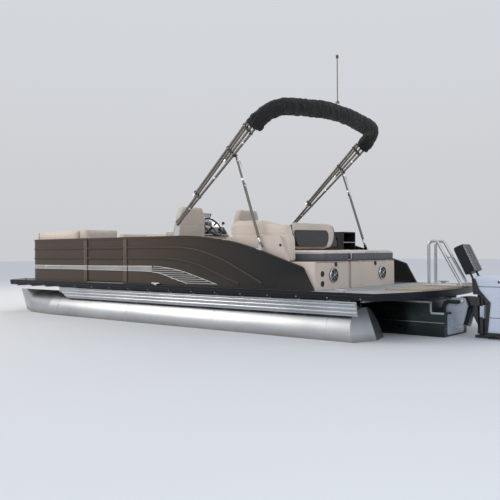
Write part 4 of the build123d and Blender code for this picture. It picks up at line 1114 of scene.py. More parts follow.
def makeBowLounges():
    for side, tag in zip(sides, ("Port", "Starboard")):
        node = "bow_lounge_pads_" + tag.lower()
        for i, part in enumerate(sorted(islands(node), key=lambda p: corners(p)[0].x)):
            low, high = corners(part)
            size = high - low
            long = 0 if size.x > size.y else 1
            count = max(1, round(size[long] / 0.5))
            seams = []
            for k in range(1, count):
                point = [0, 0, 0]
                point[long] = low[long] + size[long] * k / count
                seams.append((tuple(point), (ahead, toPort)[long], 0.006, 0.006))
            if size.z > 0.3:
                seams.append((*level(onDeck(0.60)), 0.007, 0.006))
            cushion(f"bowCushion{tag}{i}", part, "beige", "boat", node, 0.015, 8, 0.014,
                    i + side * 5.0, seams, [level(high.z - 0.026)] + [s[:2] for s in seams])


def makeSternPads():
    seat, back = sorted(islands("aft_lounge_pads"), key=lambda p: corners(p)[1].z)
    parts = [(p, "bench_pads") for p in islands("bench_pads")] + [(seat, "aft_lounge_pads")]
    starboard = min(corners(part)[0].y for part, node in parts)
    for i, (part, node) in enumerate(parts):
        low, high = corners(part)
        rim = high.z - 0.020
        cuts = [level(rim)]
        if low.y < starboard + 0.001:
            cuts.append(((0, high.y - 0.020, 0), toPort))
        # the top takes the second look
        cushion(f"sternPad{i}", part, ["charcoal", "beige"], "boat", node, 0.013, 7, 0.010,
                20.0 + i, [((0, (low.y + high.y) / 2, 0), toPort, 0.004, 0.006)], cuts,
                split=lambda place, normal: int(normal.z > 0.55 and place.z > rim))
    low, high = corners(back)
    belt, across = level(onDeck(0.63)), ((at(2.03), 0, 0), ahead)
    cushion("loungeBack", back, "beige", "boat", "aft_lounge_pads", 0.011, 14, 0.010, 31.0,
            [(*belt, 0.009, 0.008), ((at(1.64), 0, 0), ahead, 0.006, 0.006),
             (*across, 0.008, 0.008)],
            [belt, across, ((0, high.y - 0.034, 0), toPort), ((0, low.y + 0.034, 0), toPort)])


swingSettings = {
    "lean": 14,
    # from the stern and on deck
    "foot": (1.65, 0.47),
    "pad": ((0.408, 0.20), (0.395, 0.308), (0.325, 0.342), (-0.42, 0.342), (-0.525, 0.324),
            (-0.560, 0.24), (-0.505, 0.11), (-0.38, 0.000), (0.25, 0.000), (0.365, 0.055)),
    "panel": ((0.385, 0.030), (0.388, 0.225), (-0.33, 0.232), (-0.365, 0.20), (-0.345, 0.12),
              (-0.25, 0.012), (0.30, 0.012)),
}


def makeSwing():
    lean = math.radians(swingSettings["lean"])
    c, n = math.cos(lean), math.sin(lean)
    footS, footZ = swingSettings["foot"]

    def here(x, y=0, z=0):
        # x ahead of the foot and z up the backrest
        return Vector((at(footS) + x * c + z * n, y, onDeck(footZ) - x * n + z * c))

    front, up = (c, 0, -n), Vector((n, 0, c))
    outline = roundCorners(swingSettings["pad"], 0.05)
    part = loft(*([here(x, y, z) for y, z in outline] for x in (-0.031, 0.090)))
    cushion("swingCushion", part, "beige", "swing_back", "swing_back_pads", 0.010, 14, 0.008, 40.0,
            [(here(0.03), front, 0.004, 0.01)], [(here(x), front) for x in (-0.012, 0.062)],
            axes=[front, toPort, (n, 0, c)], swell=0.005)
    origin = here(-0.042)
    panel = roundCorners(swingSettings["panel"], 0.045)
    build("swingPanel", "swing", (plate, [(-y, z) for y, z in panel], origin, toStarboard, up,
                                  -0.010), body="swing_back", smooth=30)
    build("swingPanelRim", "railDark",
          (tube, [origin + Vector((0, y, 0)) + up * z for y, z in panel], 0.004, 6, True),
          body="swing_back")


chairSettings = {
    # from the stern and across
    "places": {"Companion": (3.64, 0.50), "Helm": (3.56, -0.62)},
    # how far the back leans for each metre of height
    "lean": 0.085,
    "back": ((-0.262, 0.415), (0.262, 0.415), (0.284, 0.66), (0.272, 0.90), (0.205, 1.080),
             (-0.205, 1.080), (-0.272, 0.90), (-0.284, 0.66)),
    "arm": ((-0.215, 0.575), (-0.215, 0.63), (0.145, 0.605), (0.17, 0.565), (0.13, 0.550)),
    "armSide": 0.262,
}


def makeChair(number, tag, s, y0):
    # places here are ahead of the post, to port of it and on deck
    def here(x, y, z):
        return Vector((at(s) + x, y0 + y, onDeck(z)))

    body = "chair_" + tag.lower()
    slope, side = chairSettings["lean"], chairSettings["armSide"]
    outline = roundCorners(chairSettings["back"], 0.07)
    back = loft(*([here(x - slope * (z - 0.415), y, z) for y, z in outline]
                  for x in (-0.245, -0.150)))
    lean = math.atan(slope)
    front = (math.cos(lean), 0, math.sin(lean))
    shell, belt = (here(-0.222, 0, 0.415), front), level(onDeck(0.80))
    cushion(f"chairBack{tag}", back, "beige", body, body, 0.010, 14, 0.012, 50.0 + number,
            [(*shell, 0.004, 0.006), (*belt, 0.005, 0.006)],
            [shell, (here(-0.172, 0, 0.415), front), belt],
            axes=[front, toPort, (-math.sin(lean), 0, math.cos(lean))])
    fold = ((at(s) + 0.12, 0, 0), ahead)
    cushion(f"chairSeat{tag}", boxPart(here(-0.235, -0.228, 0.338), here(0.255, 0.228, 0.445)),
            "beige", body, body, 0.011, 12, 0.012, 54.0 + number, [(*fold, 0.005, 0.006)],
            [level(onDeck(0.425)), fold])
    outline = roundCorners([(at(s) + x, onDeck(z)) for x, z in chairSettings["arm"]], 0.02)
    tubes = [(tube, smoothPath([here(0.10, -0.20, 0.300), here(0.17, -0.235, 0.298),
                                here(0.205, -0.24, 0.298)], 4), 0.007, 8)]
    for out, letter in zip(sides, "LR"):
        y = out * side
        arm = loft(*([(x, across, z) for x, z in outline]
                     for across in (y0 + y - 0.028, y0 + y + 0.028)))
        cushion(f"chairArm{tag}{letter}", arm, "beige", body, body, 0.007, 8, 0.003, 58.0 + out,
                pull=0.0, swell=0.004)
        tubes.append((tube, smoothPath([here(-0.16, y, 0.57), here(-0.12, y, 0.50),
                                        here(-0.10, y - out * 0.01, 0.40),
                                        here(-0.10, y - out * 0.07, 0.325)], 5), 0.013, 10))
    build(f"chairFrame{tag}", "black",
          (box, here(-0.15, -0.15, 0.2905), here(0.15, 0.15, 0.306), 0.006),
          (box, here(-0.20, -0.215, 0.306), here(0.225, 0.215, 0.338), 0.01), *tubes, body=body)
    build(f"chairPostTrim{tag}", "chrome",
          (lathe, here(0, 0, 0.0162), upward, ((0.15, 0), (0.148, 0.004), (0.07, 0.010),
                                               (0.048, 0.020), (0.0385, 0.024)), 40),
          (lathe, here(0, 0, 0.245), upward, ((0.0385, 0), (0.052, 0.004), (0.052, 0.040),
                                              (0.0385, 0.0445)), 32),
          *((bolt, here(0.12 * math.cos(a), 0.12 * math.sin(a), 0.0225), upward, 0.008, 0.004)
            for a in (math.pi * k / 3 for k in range(6))))


makeBowLounges()
makeSternPads()
makeSwing()
for number, (tag, place) in enumerate(chairSettings["places"].items()):
    makeChair(number, tag, *place)
print("stage: cushions")


# Boot and bimini

biminiSettings = {
    "pivot": (-0.475, 1.300),
    "slope": 40.8,
    "poleSide": 1.209,
    # the boot's ends, corners and crown, from the pivot, and the corners' radius
    "start": 1.70,
    "corner": 2.02,
    "crown": 2.19,
    "radius": 0.32,
    "creaseDepth": 0.013,
    "lumpDepth": 0.012,
    # straps along a boot of this length
    "straps": (0.05, 0.42, 1.12, 1.92, 2.62, 2.99),
    "length": 3.04,
    "step": 0.02,
    "strutFoot": (-1.834, 1.168, 1.015),
}
poleSlope = math.radians(biminiSettings["slope"])
poleWay = Vector((-math.cos(poleSlope), 0, math.sin(poleSlope)))
poleLift = Vector((math.sin(poleSlope), 0, math.cos(poleSlope)))


def slopePoint(along, y, lift=0.0):
    x, z = biminiSettings["pivot"]
    return Vector((x, y, z)) + poleWay * along + poleLift * lift


def evenly(points, gap):
    out = [points[0]]
    carry = 0.0
    for a, b in zip(points, points[1:]):
        length = (b - a).length
        place = gap - carry
        while place <= length:
            out.append(a.lerp(b, place / length))
            place += gap
        carry = (carry + length) % gap
    return out


def noiseAt(x, y, z):
    return noise.noise(Vector((x, y, z)))


def bell(distance, width):
    return math.exp(-(distance / width) ** 2)


def strapBand(batch, loop, centre, way, half, lift):
    rows = []
    for point in loop:
        out = point - centre
        out = (out - way * out.dot(way)).normalized()
        rows.append([batch.bm.verts.new(point + way * (side * half) + out * height)
                     for side, height in ((-1, -0.004), (-1, lift * 0.6), (-0.8, lift), (0.8, lift),
                                          (1, lift * 0.6), (1, -0.004))])
    for row, following in zip(rows, rows[1:] + rows[:1]):
        for j in range(5):
            batch.bm.faces.new((row[j], following[j], following[j + 1], row[j + 1]))


def makeBoot():
    side, step, radius = (biminiSettings[key] for key in ("poleSide", "step", "radius"))
    start, corner = biminiSettings["start"], biminiSettings["corner"]
    keys = [slopePoint(*key) for key in ((start, side), (corner, side),
                                         (biminiSettings["crown"], 0), (corner, -side),
                                         (start, -side))]
    line = evenly(filleted(keys, [radius, 4.0, radius], 14), step)
    total = step * (len(line) - 1)
    straps = [strap * total / biminiSettings["length"] for strap in biminiSettings["straps"]]
    tree = kdtree.KDTree(len(line))
    for i, point in enumerate(line):
        tree.insert(point, i)
    tree.balance()
    mesh = softMesh(islands("bimini_boot")[0], 0.010, 6)
    places, normals = arrays(mesh)
    shifted = places.copy()
    slack = Vector((-0.25, -0.62, -0.74)).normalized()
    for i, row in enumerate(places):
        place = Vector(row)
        near = tree.find(place)[1]
        way = (line[min(near + 1, len(line) - 1)] - line[max(near - 1, 0)]).normalized()
        out = place - line[near]
        u = near * step + out.dot(way)
        other = way.cross(poleLift)
        turn = math.atan2(out.dot(poleLift), out.dot(other))
        c, s = math.cos(turn), math.sin(turn)
        skew = 0.35 * math.sin(turn + 0.8)
        crease = noiseAt(u * 11.0 + skew, c * 0.9, s * 0.9)
        fine = noiseAt(u * 27.0 + skew * 2.5 + 9, c * 1.3, s * 1.3)
        drag = noiseAt(u * 5.0 + turn * 1.1, c * 1.5 + 4, s)
        lump = noiseAt(u * 2.4, c * 0.7, s * 0.7 + 11)
        ridge = (1 - abs(crease) * 2.4) * 0.5 + (1 - abs(fine) * 2.6) * 0.28
        move = (ridge - 0.62) * biminiSettings["creaseDepth"]
        move += (lump - 0.15) * biminiSettings["lumpDepth"] - abs(drag) * 0.010
        if u < 0.2 and place.y > 0.9:
            # a slack fold hangs at the port end
            hang = max(0.0, out.normalized().dot(slack))
            move += 0.026 * hang ** 3 * bell(u - 0.045, 0.045)
        edge = max(min(u, total - u), 0)
        pinch = bell(edge, 0.05)
        gather = math.sin(turn * 13 + 1.3 * math.sin(u * 40)) * 0.004
        move -= pinch * 0.010 - gather * bell(edge, 0.11)
        for strap in straps:
            move -= bell(u - strap, 0.028) * 0.007 - gather * 0.9 * bell(u - strap, 0.09)
        shifted[i] += normals[i] * move
        if out.dot(other) > 0:
            shifted[i][2] -= 0.004 * (1 - pinch)
    putBack(mesh, shifted)
    piece = newPiece("bimini_canvas_boot", mesh, "canvas", "bimini", 0)
    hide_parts("bimini_boot")

    stations = []
    for strap in straps:
        i = min(len(line) - 2, max(1, round(strap / step)))
        stations.append((line[i], (line[i + 1] - line[i - 1]).normalized()))
    build("bootStraps", "webbing",
          *((strapBand, thin(loop, 0.014), centre, way, 0.019, 0.0028) for centre, way in stations
            for loop in sections(mesh, centre, way)
            if max((p - centre).length for p in loop) <= 0.3),
          body="bimini", smooth=50)
    build("bootSeam", "webbing",
          *((tube, thin(loop, 0.02), 0.0032, 6, True)
            for loop in sections(mesh, line[len(line) // 2] + poleLift * 0.02, poleLift)),
          body="bimini")
    skin = bvhtree.BVHTree.FromPolygons([v.co for v in mesh.vertices],
                                        [p.vertices for p in mesh.polygons])
    buckles = []
    for centre, way in stations[1:-1]:
        out = way.cross(poleLift)
        face = ((out if out.z > 0 else -out) * 0.3 - poleLift).normalized()
        hit = skin.ray_cast(centre + face * 0.4, -face)[0]
        buckles.append((box, (-0.014, -0.020, -0.002), (0.014, 0.020, 0.009), 0.003,
                        moved(hit, turned(way, face.cross(way), face))))
    build("bootBuckles", "black", *buckles, body="bimini")


def makeBiminiTrim():
    chrome, dark, bolts, fittings, sleeves, knobs = [], [], [], [], [], []
    axes = turned(-Vector(toPort).cross(poleWay), toPort, poleWay)
    for out in sides:
        y, outward = out * biminiSettings["poleSide"], (0, out, 0)
        for along, lift in ((0.48, 0.068), (1.13, 0.014)):
            chrome.append((lathe, slopePoint(along - 0.018, y, lift), poleWay,
                           ((0.009, 0), (0.0175, 0.004), (0.0178, 0.030), (0.0162, 0.034)), 20))
        for along, middle, span in ((0.52, 0.039, 0.112), (1.265, 0.03, 0.168),
                                    (1.62, 0.034, 0.176)):
            dark.append((box, (-span / 2, -0.0195, -0.015), (span / 2, 0.0195, 0.015), 0.006,
                         moved(slopePoint(along, y, middle), axes)))
            chrome += [(bolt, slopePoint(along, y + out * 0.0195, middle + lift), outward, 0.007,
                        0.005) for lift in (0.03 - span / 2, span / 2 - 0.03)]
        chrome += [(lathe, slopePoint(along, y, -0.042 * along / 1.7), poleWay,
                    ((0.0162, 0), (0.018, 0.002), (0.018, 0.016), (0.0162, 0.018)), 20)
                   for along in (0.30, 0.86, 1.46)]
        x, z = biminiSettings["pivot"]
        bolts += [(bolt, (x + dx, y + dy, onDeck(0.6482)), upward, 0.005)
                  for dx in (-0.033, 0.033) for dy in (-0.014, 0.014)]
        bolts += [(lathe, (x, y + way * 0.0262, z), (0, way, 0),
                   ((0.0085, 0), (0.0085, 0.005), (0.005, 0.008)), 6) for way in sides]

        base = Vector(biminiSettings["strutFoot"])
        base.y *= out
        lean = Vector((0.378, 0, 1.10)).normalized()
        side = Vector((-lean.z, 0, lean.x)) * 0.030
        fittings += [
            (lathe, base + lean * 0.045, lean, ((0.0125, 0), (0.016, 0.003), (0.016, 0.05),
                                                (0.0125, 0.056)), 18),
            (lathe, base + lean * 0.82, lean, ((0.0125, 0), (0.0155, 0.003), (0.0155, 0.03),
                                               (0.0125, 0.034)), 18),
            (tube, smoothPath([base + lean * 0.76, base + lean * 0.78 + side,
                               base + lean * 1.05 + side, base + lean * 1.08], 5), 0.0085, 10)]
        sleeves.append((tube, [base + lean * 0.10, base + lean * 0.74], 0.0165, 18))
        knobs.append((lathe, base + lean * 0.78 - Vector((0, out * 0.012, 0)), (0, -out, 0),
                      ((0.006, 0), (0.014, 0.004), (0.014, 0.014), (0.010, 0.018)), 16))
    build("biminiFerrules", "chrome", *chrome, body="bimini")
    build("biminiClips", "black", *dark, body="bimini")
    build("strutFittings", "chrome", *fittings, body="bimini_struts")
    build("strutSleeves", "pole", *sleeves, body="bimini_struts")
    build("strutKnobs", "black", *knobs, body="bimini_struts")
    build("hingeBolts", "steel", *bolts)
    low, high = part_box("stern_light")
    build("sternLightLens", "gloss",
          (lathe, ((low.x + high.x) / 2, (low.y + high.y) / 2, high.z - 0.034), upward,
           ((0.0165, 0), (0.0185, 0.003), (0.0185, 0.022), (0.0165, 0.025)), 24), body="bimini")


makeBoot()
makeBiminiTrim()
print("stage: bimini")


# Stern

sternSettings = {"wall": 0.800, "speakers": {"Port": 0.816, "Starboard": -0.282},
                 "speakerHeight": 0.160, "podSide": 0.2982}


def makeStern():
    def onWall(out, y, z):
        # out is how far it stands from the seats' aft wall
        return spot(sternSettings["wall"] - out, y, z)

    for tag, y in sternSettings["speakers"].items():
        middle = onWall(0.0102, y, sternSettings["speakerHeight"])
        arms = []
        for a in (math.pi * k / 3 + 0.3 for k in range(6)):
            way = Vector((0, math.cos(a), math.sin(a)))
            across = Vector((0, -math.sin(a), math.cos(a))) * 0.012
            spine = [middle + way * r + across * math.sin(r * 40) - Vector((0.006, 0, 0))
                     for r in (0.018, 0.03, 0.042, 0.054, 0.066)]
            arms.append((tube, smoothPath(spine, 3), 0.0026, 6))
        build("speakerRing" + tag, "chrome",
              (lathe, middle, astern, ((0.083, 0), (0.083, 0.004), (0.079, 0.009), (0.074, 0.009),
                                       (0.073, 0.003)), 48, False),
              (lathe, middle - Vector((0.002, 0, 0)), astern,
               ((0.012, 0), (0.012, 0.006), (0.008, 0.009), (0, 0.009)), 24), *arms)
        build("speakerCone" + tag, "black",
              (lathe, middle, astern, ((0.073, 0.001), (0.070, 0.005), (0.062, 0.003),
                                       (0.03, 0.0012), (0.022, 0.003), (0, 0.003)), 40))
    # two sockets to port, and a two-step latch on each lid
    build("sternWallFittings", "black",
          *((lathe, onWall(0.0002, 1.036, z), astern, ((0.033, 0), (0.033, 0.004), (0.027, 0.007),
                                                       (0.023, 0.003), (0, 0.002)), 28)
            for z in (0.180, 0.070)),
          *((box, onWall(out, y - half, low), onWall(0.0002, y + half, high), bevel)
            for y in (0.768, -0.114) for out, half, low, high, bevel in (
                (0.010, 0.022, 0.272, 0.308, 0.004), (0.016, 0.012, 0.258, 0.276, 0.003))))
    build("sternWallSeams", "railDark",
          (box, onWall(0.0018, 0.484, 0.006), onWall(-0.001, 0.489, 0.312)),
          (box, onWall(0.0018, -0.596, 0.305), onWall(-0.001, 1.16, 0.309)))
    build("sternWallScrews", "steel",
          *((bolt, onWall(0.0002, y, 0.030), astern)
            for y in (1.13, 0.66, 0.546, 0.197, -0.142, -0.50)),
          *((bolt, spot(s, -0.5952, 0.05), toStarboard) for s in (0.95, 1.25, 1.55, 1.85)))
    build("padHinges", "steel",
          *((box, onWall(0.003, y - 0.03, 0.290), onWall(0, y + 0.03, 0.316), 0.001)
            for y in (-0.40, 0.25)))
    build("platformGrooves", "railDark",
          *((box, spot(-0.20, y - 0.004, 0.0175), spot(0.245, y + 0.004, 0.0192), 0.001)
            for y in (0.36, 0.12, -0.12, -0.36)))
    build("platformEdge", "steel",
          (box, spot(0.250, -0.61, 0.0005), spot(0.262, 0.61, 0.020), 0.003))
    build("loungePanelFitting", "black",
          (lathe, spot(1.30, 1.1425, 0.505), toPort, ((0.017, 0), (0.017, 0.003), (0.012, 0.005),
                                                      (0.009, 0.002), (0, 0.002)), 24))


def makePodTrim():
    # bright folded lip along the pod's stepped top edge, and two folds below it
    lip = []
    for side in sides:
        y = side * sternSettings["podSide"]
        rows = sheetLine(((0.60, -0.129), (-0.130, -0.129), (-0.130, -0.248), (-0.283, -0.248)), y)
        lip += [(band, pair, 0.0105, 0.0022, 0.0085 * (abs(pair[0][0].z - pair[1][0].z) < 0.01))
                for pair in zip(rows, rows[1:])]
        lip += [(band, sheetLine(((0.60, z), (-0.283, z)), y), 0.003, 0.0018)
                for z in (-0.60, -0.36)]
    build("podLip", "skirt", *lip)
    build("transomPlate", "bracket", (plate, rectangle(-0.22, 0.02, 0.22, 0.245, 0.03),
                                      (at(-0.2852), 0, 0), toStarboard, upward, -0.004))
    low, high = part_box("side_cubby")
    build("cubbyShelfEdge", "steel", (box, (low.x - 0.004, low.y + 0.014, onDeck(0.548)),
                                      (low.x + 0.006, high.y - 0.014, onDeck(0.557)), 0.002))


makeStern()
makePodTrim()
print("stage: stern")


# Ladder

ladderSettings = {"foot": (-3.224, -0.300, 0.533), "skew": 8.0, "pivot": (0.540, 0.135, 0.040),
                  "lean": 25.0, "firstTread": 0.128, "pitch": 0.103}


def makeLadderTrim():
    hoops = moved(ladderSettings["foot"],
                  Matrix.Rotation(math.radians(180 + ladderSettings["skew"]), 4, "Z"))
    steps = hoops @ moved(ladderSettings["pivot"],
                          Matrix.Rotation(math.radians(-ladderSettings["lean"]), 4, "Y"))
    axes = steps.to_3x3()
    treads = [ladderSettings["firstTread"] + ladderSettings["pitch"] * i for i in range(3)]

    def step(x, y, z):
        return steps @ Vector((x, y, z))

    def hoop(x, y, z=0.0052):
        return hoops @ Vector((x, y, z))

    build("treadRibs", "navyGloss",
          *((box, (x0, y - 0.036, z + rise), (x1, y + 0.036, z + rise + 0.006), 0.0008, steps)
            for z in treads for rise in (0.016, 0.046, 0.076)
            for x0, x1 in ((-0.0545, -0.0520), (0.0670, 0.0695)) for y in (-0.108, 0.0, 0.108)),
          body="ladder_steps")
    cheek = roundCorners([(-0.050, 0.124), (0.066, 0.124), (0.066, 0.440), (0.040, 0.462),
                          (-0.030, 0.462), (-0.050, 0.440)], 0.015)
    build("stepPanels", "navyGloss",
          *((box, (x - 0.0022, y0, 0.122), (x + 0.0022, y1, 0.446), 0.0016, steps)
            for x in (-0.0505, 0.0655)
            for y0, y1 in ((-0.160, -0.060), (-0.052, 0.052), (0.060, 0.160))),
          *((plate, cheek, step(0, y, 0), axes @ Vector(ahead), axes @ Vector(upward), -0.005)
            for y in (-0.174, 0.169)), body="ladder_steps")
    build("stepEdging", "steel",
          *((tube, [step(x, y, 0.128), step(x, y, 0.442)], 0.0034, 8)
            for x in (-0.0525, 0.0680) for y in (-0.167, 0.167)), body="ladder_steps")
    build("stepRails", "railDark",
          *((bolt, step(0.008, side * 0.174, z + 0.05), axes @ Vector((0, side, 0)), 0.008, 0.004)
            for side in sides for z in treads), body="ladder_steps")
    build("stepCaps", "black",
          *((box, (-0.050, y, 0.436), (0.066, y + 0.167, 0.462), 0.011, steps)
            for y in (-0.168, 0.001)), body="ladder_steps")
    build("hoopFlanges", "steel",
          *((lathe, hoop(x, y), upward,
             ((0.036, 0), (0.035, 0.004), (0.021, 0.008), (0.018, 0.012)), 24)
            for x in (0.0, 0.383) for y in (0.0, 0.270)))
    build("ladderPlateBolts", "steel",
          *((bolt, hoop(x, y), upward, 0.007, 0.004)
            for x in (-0.018, 0.402) for y in (-0.022, 0.292)))
    build("hoopCrossbar", "steel",
          (tube, [hoop(0.215, 0.0, 0.33), hoop(0.215, 0.27, 0.33)], 0.010, 10))
    build("ladderPlate", "steel",
          (box, (-0.050, -0.055, 0.0005), (0.440, 0.325, 0.0048), 0.002, hoops))


makeLadderTrim()
print("stage: ladder")


# Console

consoleSettings = {
    "inner": -0.500,
    "wheelSide": -0.760,
    # across from the wheel, and radius
    "gauges": ((-0.135, 0.027), (0.0, 0.030), (0.135, 0.027)),
}


def makeDash():
    middle = consoleSettings["wheelSide"]
    dash = spot(4.240, middle, 0.775)
    normal, up = Vector((-0.781, 0, 0.625)), Vector((0.625, 0, 0.781))
    port = Vector(toPort)
    turn = turned(port, up, normal)
    build("dashPanel", "gloss",
          (plate, [(-x, z) for x, z in rectangle(-0.395, -0.070, 0.235, 0.066, 0.02)],
           dash + normal * 0.0003, -port, up, 0.004, 0.0015))
    build("dashSwitches", "black",
          *((box, (-0.011, -0.018, 0), (0.011, 0.018, 0.006), 0.003,
             moved(dash + normal * 0.0042 - port * (0.235 + 0.032 * k) - up * 0.030, turn))
            for k in range(5)))
    outline = roundCorners([(4.345, 0.862), (4.372, 0.930), (4.455, 0.962), (4.545, 0.938),
                            (4.545, 0.930)], 0.012)
    shape = loft(*([spot(s, middle + y, z) for s, z in outline] for y in (-0.205, 0.205)))
    rim = [e for e in shape.edges if abs(e.verts[0].co.y - e.verts[1].co.y) < 1e-6]
    roundEdges(shape, rim, 0.008, 0)
    build("dashBinnacle", "charcoal", (Batch.take, shape))

    face, rise = Vector((-0.93, 0, 0.369)).normalized(), Vector((0.369, 0, 0.93)).normalized()
    bezels, dials, marks = [], [], []
    for y, r in consoleSettings["gauges"]:
        place = spot(4.3585, middle + y, 0.899)
        bezels.append((lathe, place, face, ((r, 0), (r, 0.006), (r * 0.93, 0.009),
                                            (r * 0.86, 0.006), (r * 0.85, 0.002)), 36))
        dials.append((lathe, place, face, ((r * 0.86, 0.001), (r * 0.86, 0.004), (0, 0.004)), 36))
        # angle, from and to in radii, height over the face, thickness: the ticks and the needle
        lines = [(26 * k - 130, 0.62, 0.78, 0.0046, 0.0006) for k in range(11)]
        for angle, low, high, lift, thick in lines + [(y * 300 - 70, -0.15, 0.6, 0.0050, 0.0007)]:
            a = math.radians(angle)
            spoke = (port * math.sin(a) + rise * math.cos(a)) * r
            marks.append((tube, [place + face * lift + spoke * t for t in (low, high)], thick, 4))
    build("gaugeBezels", "chrome", *bezels)
    build("gaugeFaces", "gloss", *dials)
    build("gaugeMarks", "lens", *marks)

    top = spot(4.245, -1.08, 0.78)
    foot = top + normal * 0.030 + port * 0.052
    head = foot + normal * 0.105 + up * 0.045 + port * 0.010
    bend = port * 0.006
    build("throttleBase", "black",
          (box, (-0.045, -0.070, 0.0045), (0.045, 0.060, 0.035), 0.010, moved(top, turn)))
    build("throttleLever", "chrome",
          (lathe, foot - port * 0.008, port,
           ((0.024, 0), (0.024, 0.010), (0.018, 0.016), (0, 0.016)), 24),
          (tube, smoothPath([foot + bend, foot.lerp(head, 0.5) + bend, head], 5), 0.0075, 10))
    build("throttleKnob", "black",
          (box, (-0.022, -0.020, -0.012), (0.022, 0.020, 0.022), 0.010, moved(head, turn)))

    centre = dash + normal * 0.100
    build("wheelHub", "chrome",
          (lathe, centre + normal * 0.013, normal,
           ((0.034, 0), (0.033, 0.004), (0.024, 0.008), (0, 0.009)), 28), body="steering_wheel")
    stitches = []
    for a in (2 * math.pi * k / 60 for k in range(60)):
        place = centre + (port * math.cos(a) + up * math.sin(a)) * 0.1668
        half = (up * math.cos(a) - port * math.sin(a)) * 0.004 + normal * 0.002
        stitches.append((tube, [place - half, place + half], 0.0009, 4))
    build("wheelStitch", "piping", *stitches, body="steering_wheel")
    build("dashLip", "charcoal",
          (tube, smoothPath([spot(4.1835, -1.165, 0.697), spot(4.1815, -0.84, 0.696),
                             spot(4.1835, -0.515, 0.697)], 6), 0.009, 10))


def makeConsoleTrim():
    low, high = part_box("windscreen")
    ends = [[Vector((x, y, z)) for y in (low.y + 0.004, high.y - 0.004)]
            for x, z in ((high.x - 0.006, low.z + 0.006), (low.x + 0.006, high.z - 0.004))]
    build("windscreenFrame", "pole",
          *((tube, line, 0.0075, 10) for line in (*zip(*ends), ends[1])),
          (box, (high.x - 0.024, low.y - 0.004, low.z - 0.001),
           (high.x + 0.004, high.y + 0.004, low.z + 0.014), 0.004))
    bar = [(4.60, -0.60, 0.918), (4.56, -0.60, 0.975), (4.55, -0.64, 1.0), (4.55, -1.04, 1.0),
           (4.56, -1.08, 0.975), (4.60, -1.08, 0.918)]
    build("consoleGrabRail", "chrome",
          *((lathe, spot(4.60, y, 0.915), upward, ((0.016, 0), (0.014, 0.008), (0.008, 0.010)), 16)
            for y in (-0.60, -1.08)),
          (tube, smoothPath([spot(*place) for place in bar], 6), 0.0085, 10))
    inner = consoleSettings["inner"]
    outline = rectangle(at(4.32), onDeck(0.10), at(4.78), onDeck(0.56), 0.03)
    build("consoleDoor", "shell", (plate, outline, (0, inner + 0.0057, 0), ahead, upward, 0.0054))
    build("consoleDoorSeal", "railDark",
          (tube, [(x, inner + 0.0037, z) for x, z in outline], 0.0035, 6, True))
    build("consoleLatch", "chrome",
          (lathe, spot(4.735, inner + 0.0057, 0.33), toPort,
           ((0.022, 0), (0.022, 0.004), (0.016, 0.006), (0, 0.006)), 24))
    build("consoleFrontPanel", "shell",
          (plate, rectangle(-1.08, onDeck(0.12), -0.60, onDeck(0.58), 0.03), (at(4.8501), 0, 0),
           toPort, upward, 0.006, 0.002))
    build("footRest", "black", (box, spot(4.40, -1.09, 0.0605), spot(4.55, -0.59, 0.075), 0.004),
          *((box, spot(4.405, y, 0.0745), spot(4.545, y + 0.04, 0.0775), 0.001)
            for y in (0.085 * k - 1.07 for k in range(6))))
    build("consoleCupHolder", "steel",
          (lathe, spot(4.42, -0.555, 0.8893), (-0.33, 0, 0.944),
           ((0.040, 0), (0.040, 0.004), (0.034, 0.006), (0.033, 0.002), (0, 0.0015)), 32))


makeDash()
makeConsoleTrim()
print("stage: console")


# Outboard

motorSettings = {
    "cowlSeams": (0.560, 0.235), "cowlSide": 0.2052, "frameSide": 0.150, "bracketSide": 0.132,
    # from the stern and over the water
    "sidePanel": ((-0.80, 0.30), (-1.08, 0.33), (-1.10, 0.47), (-0.79, 0.44)),
    "frame": ((-0.556, 0.628), (-0.566, 0.485), (-0.645, 0.480), (-0.672, 0.380), (-0.668, 0.060),
              (-0.70, 0.050), (-0.735, 0.386), (-0.625, 0.520), (-0.575, 0.632)),
    "frameBolts": ((-0.600, 0.50), (-0.695, 0.37), (-0.690, 0.22), (-0.690, 0.10)),
    "bracketBolts": ((-0.33, 0.20), (-0.38, 0.14), (-0.40, 0.28), (-0.345, 0.34)),
    "tiltAxle": (-0.415, 0.392),
}


def overWater(s, y, z):
    return Vector((at(s), y, z))


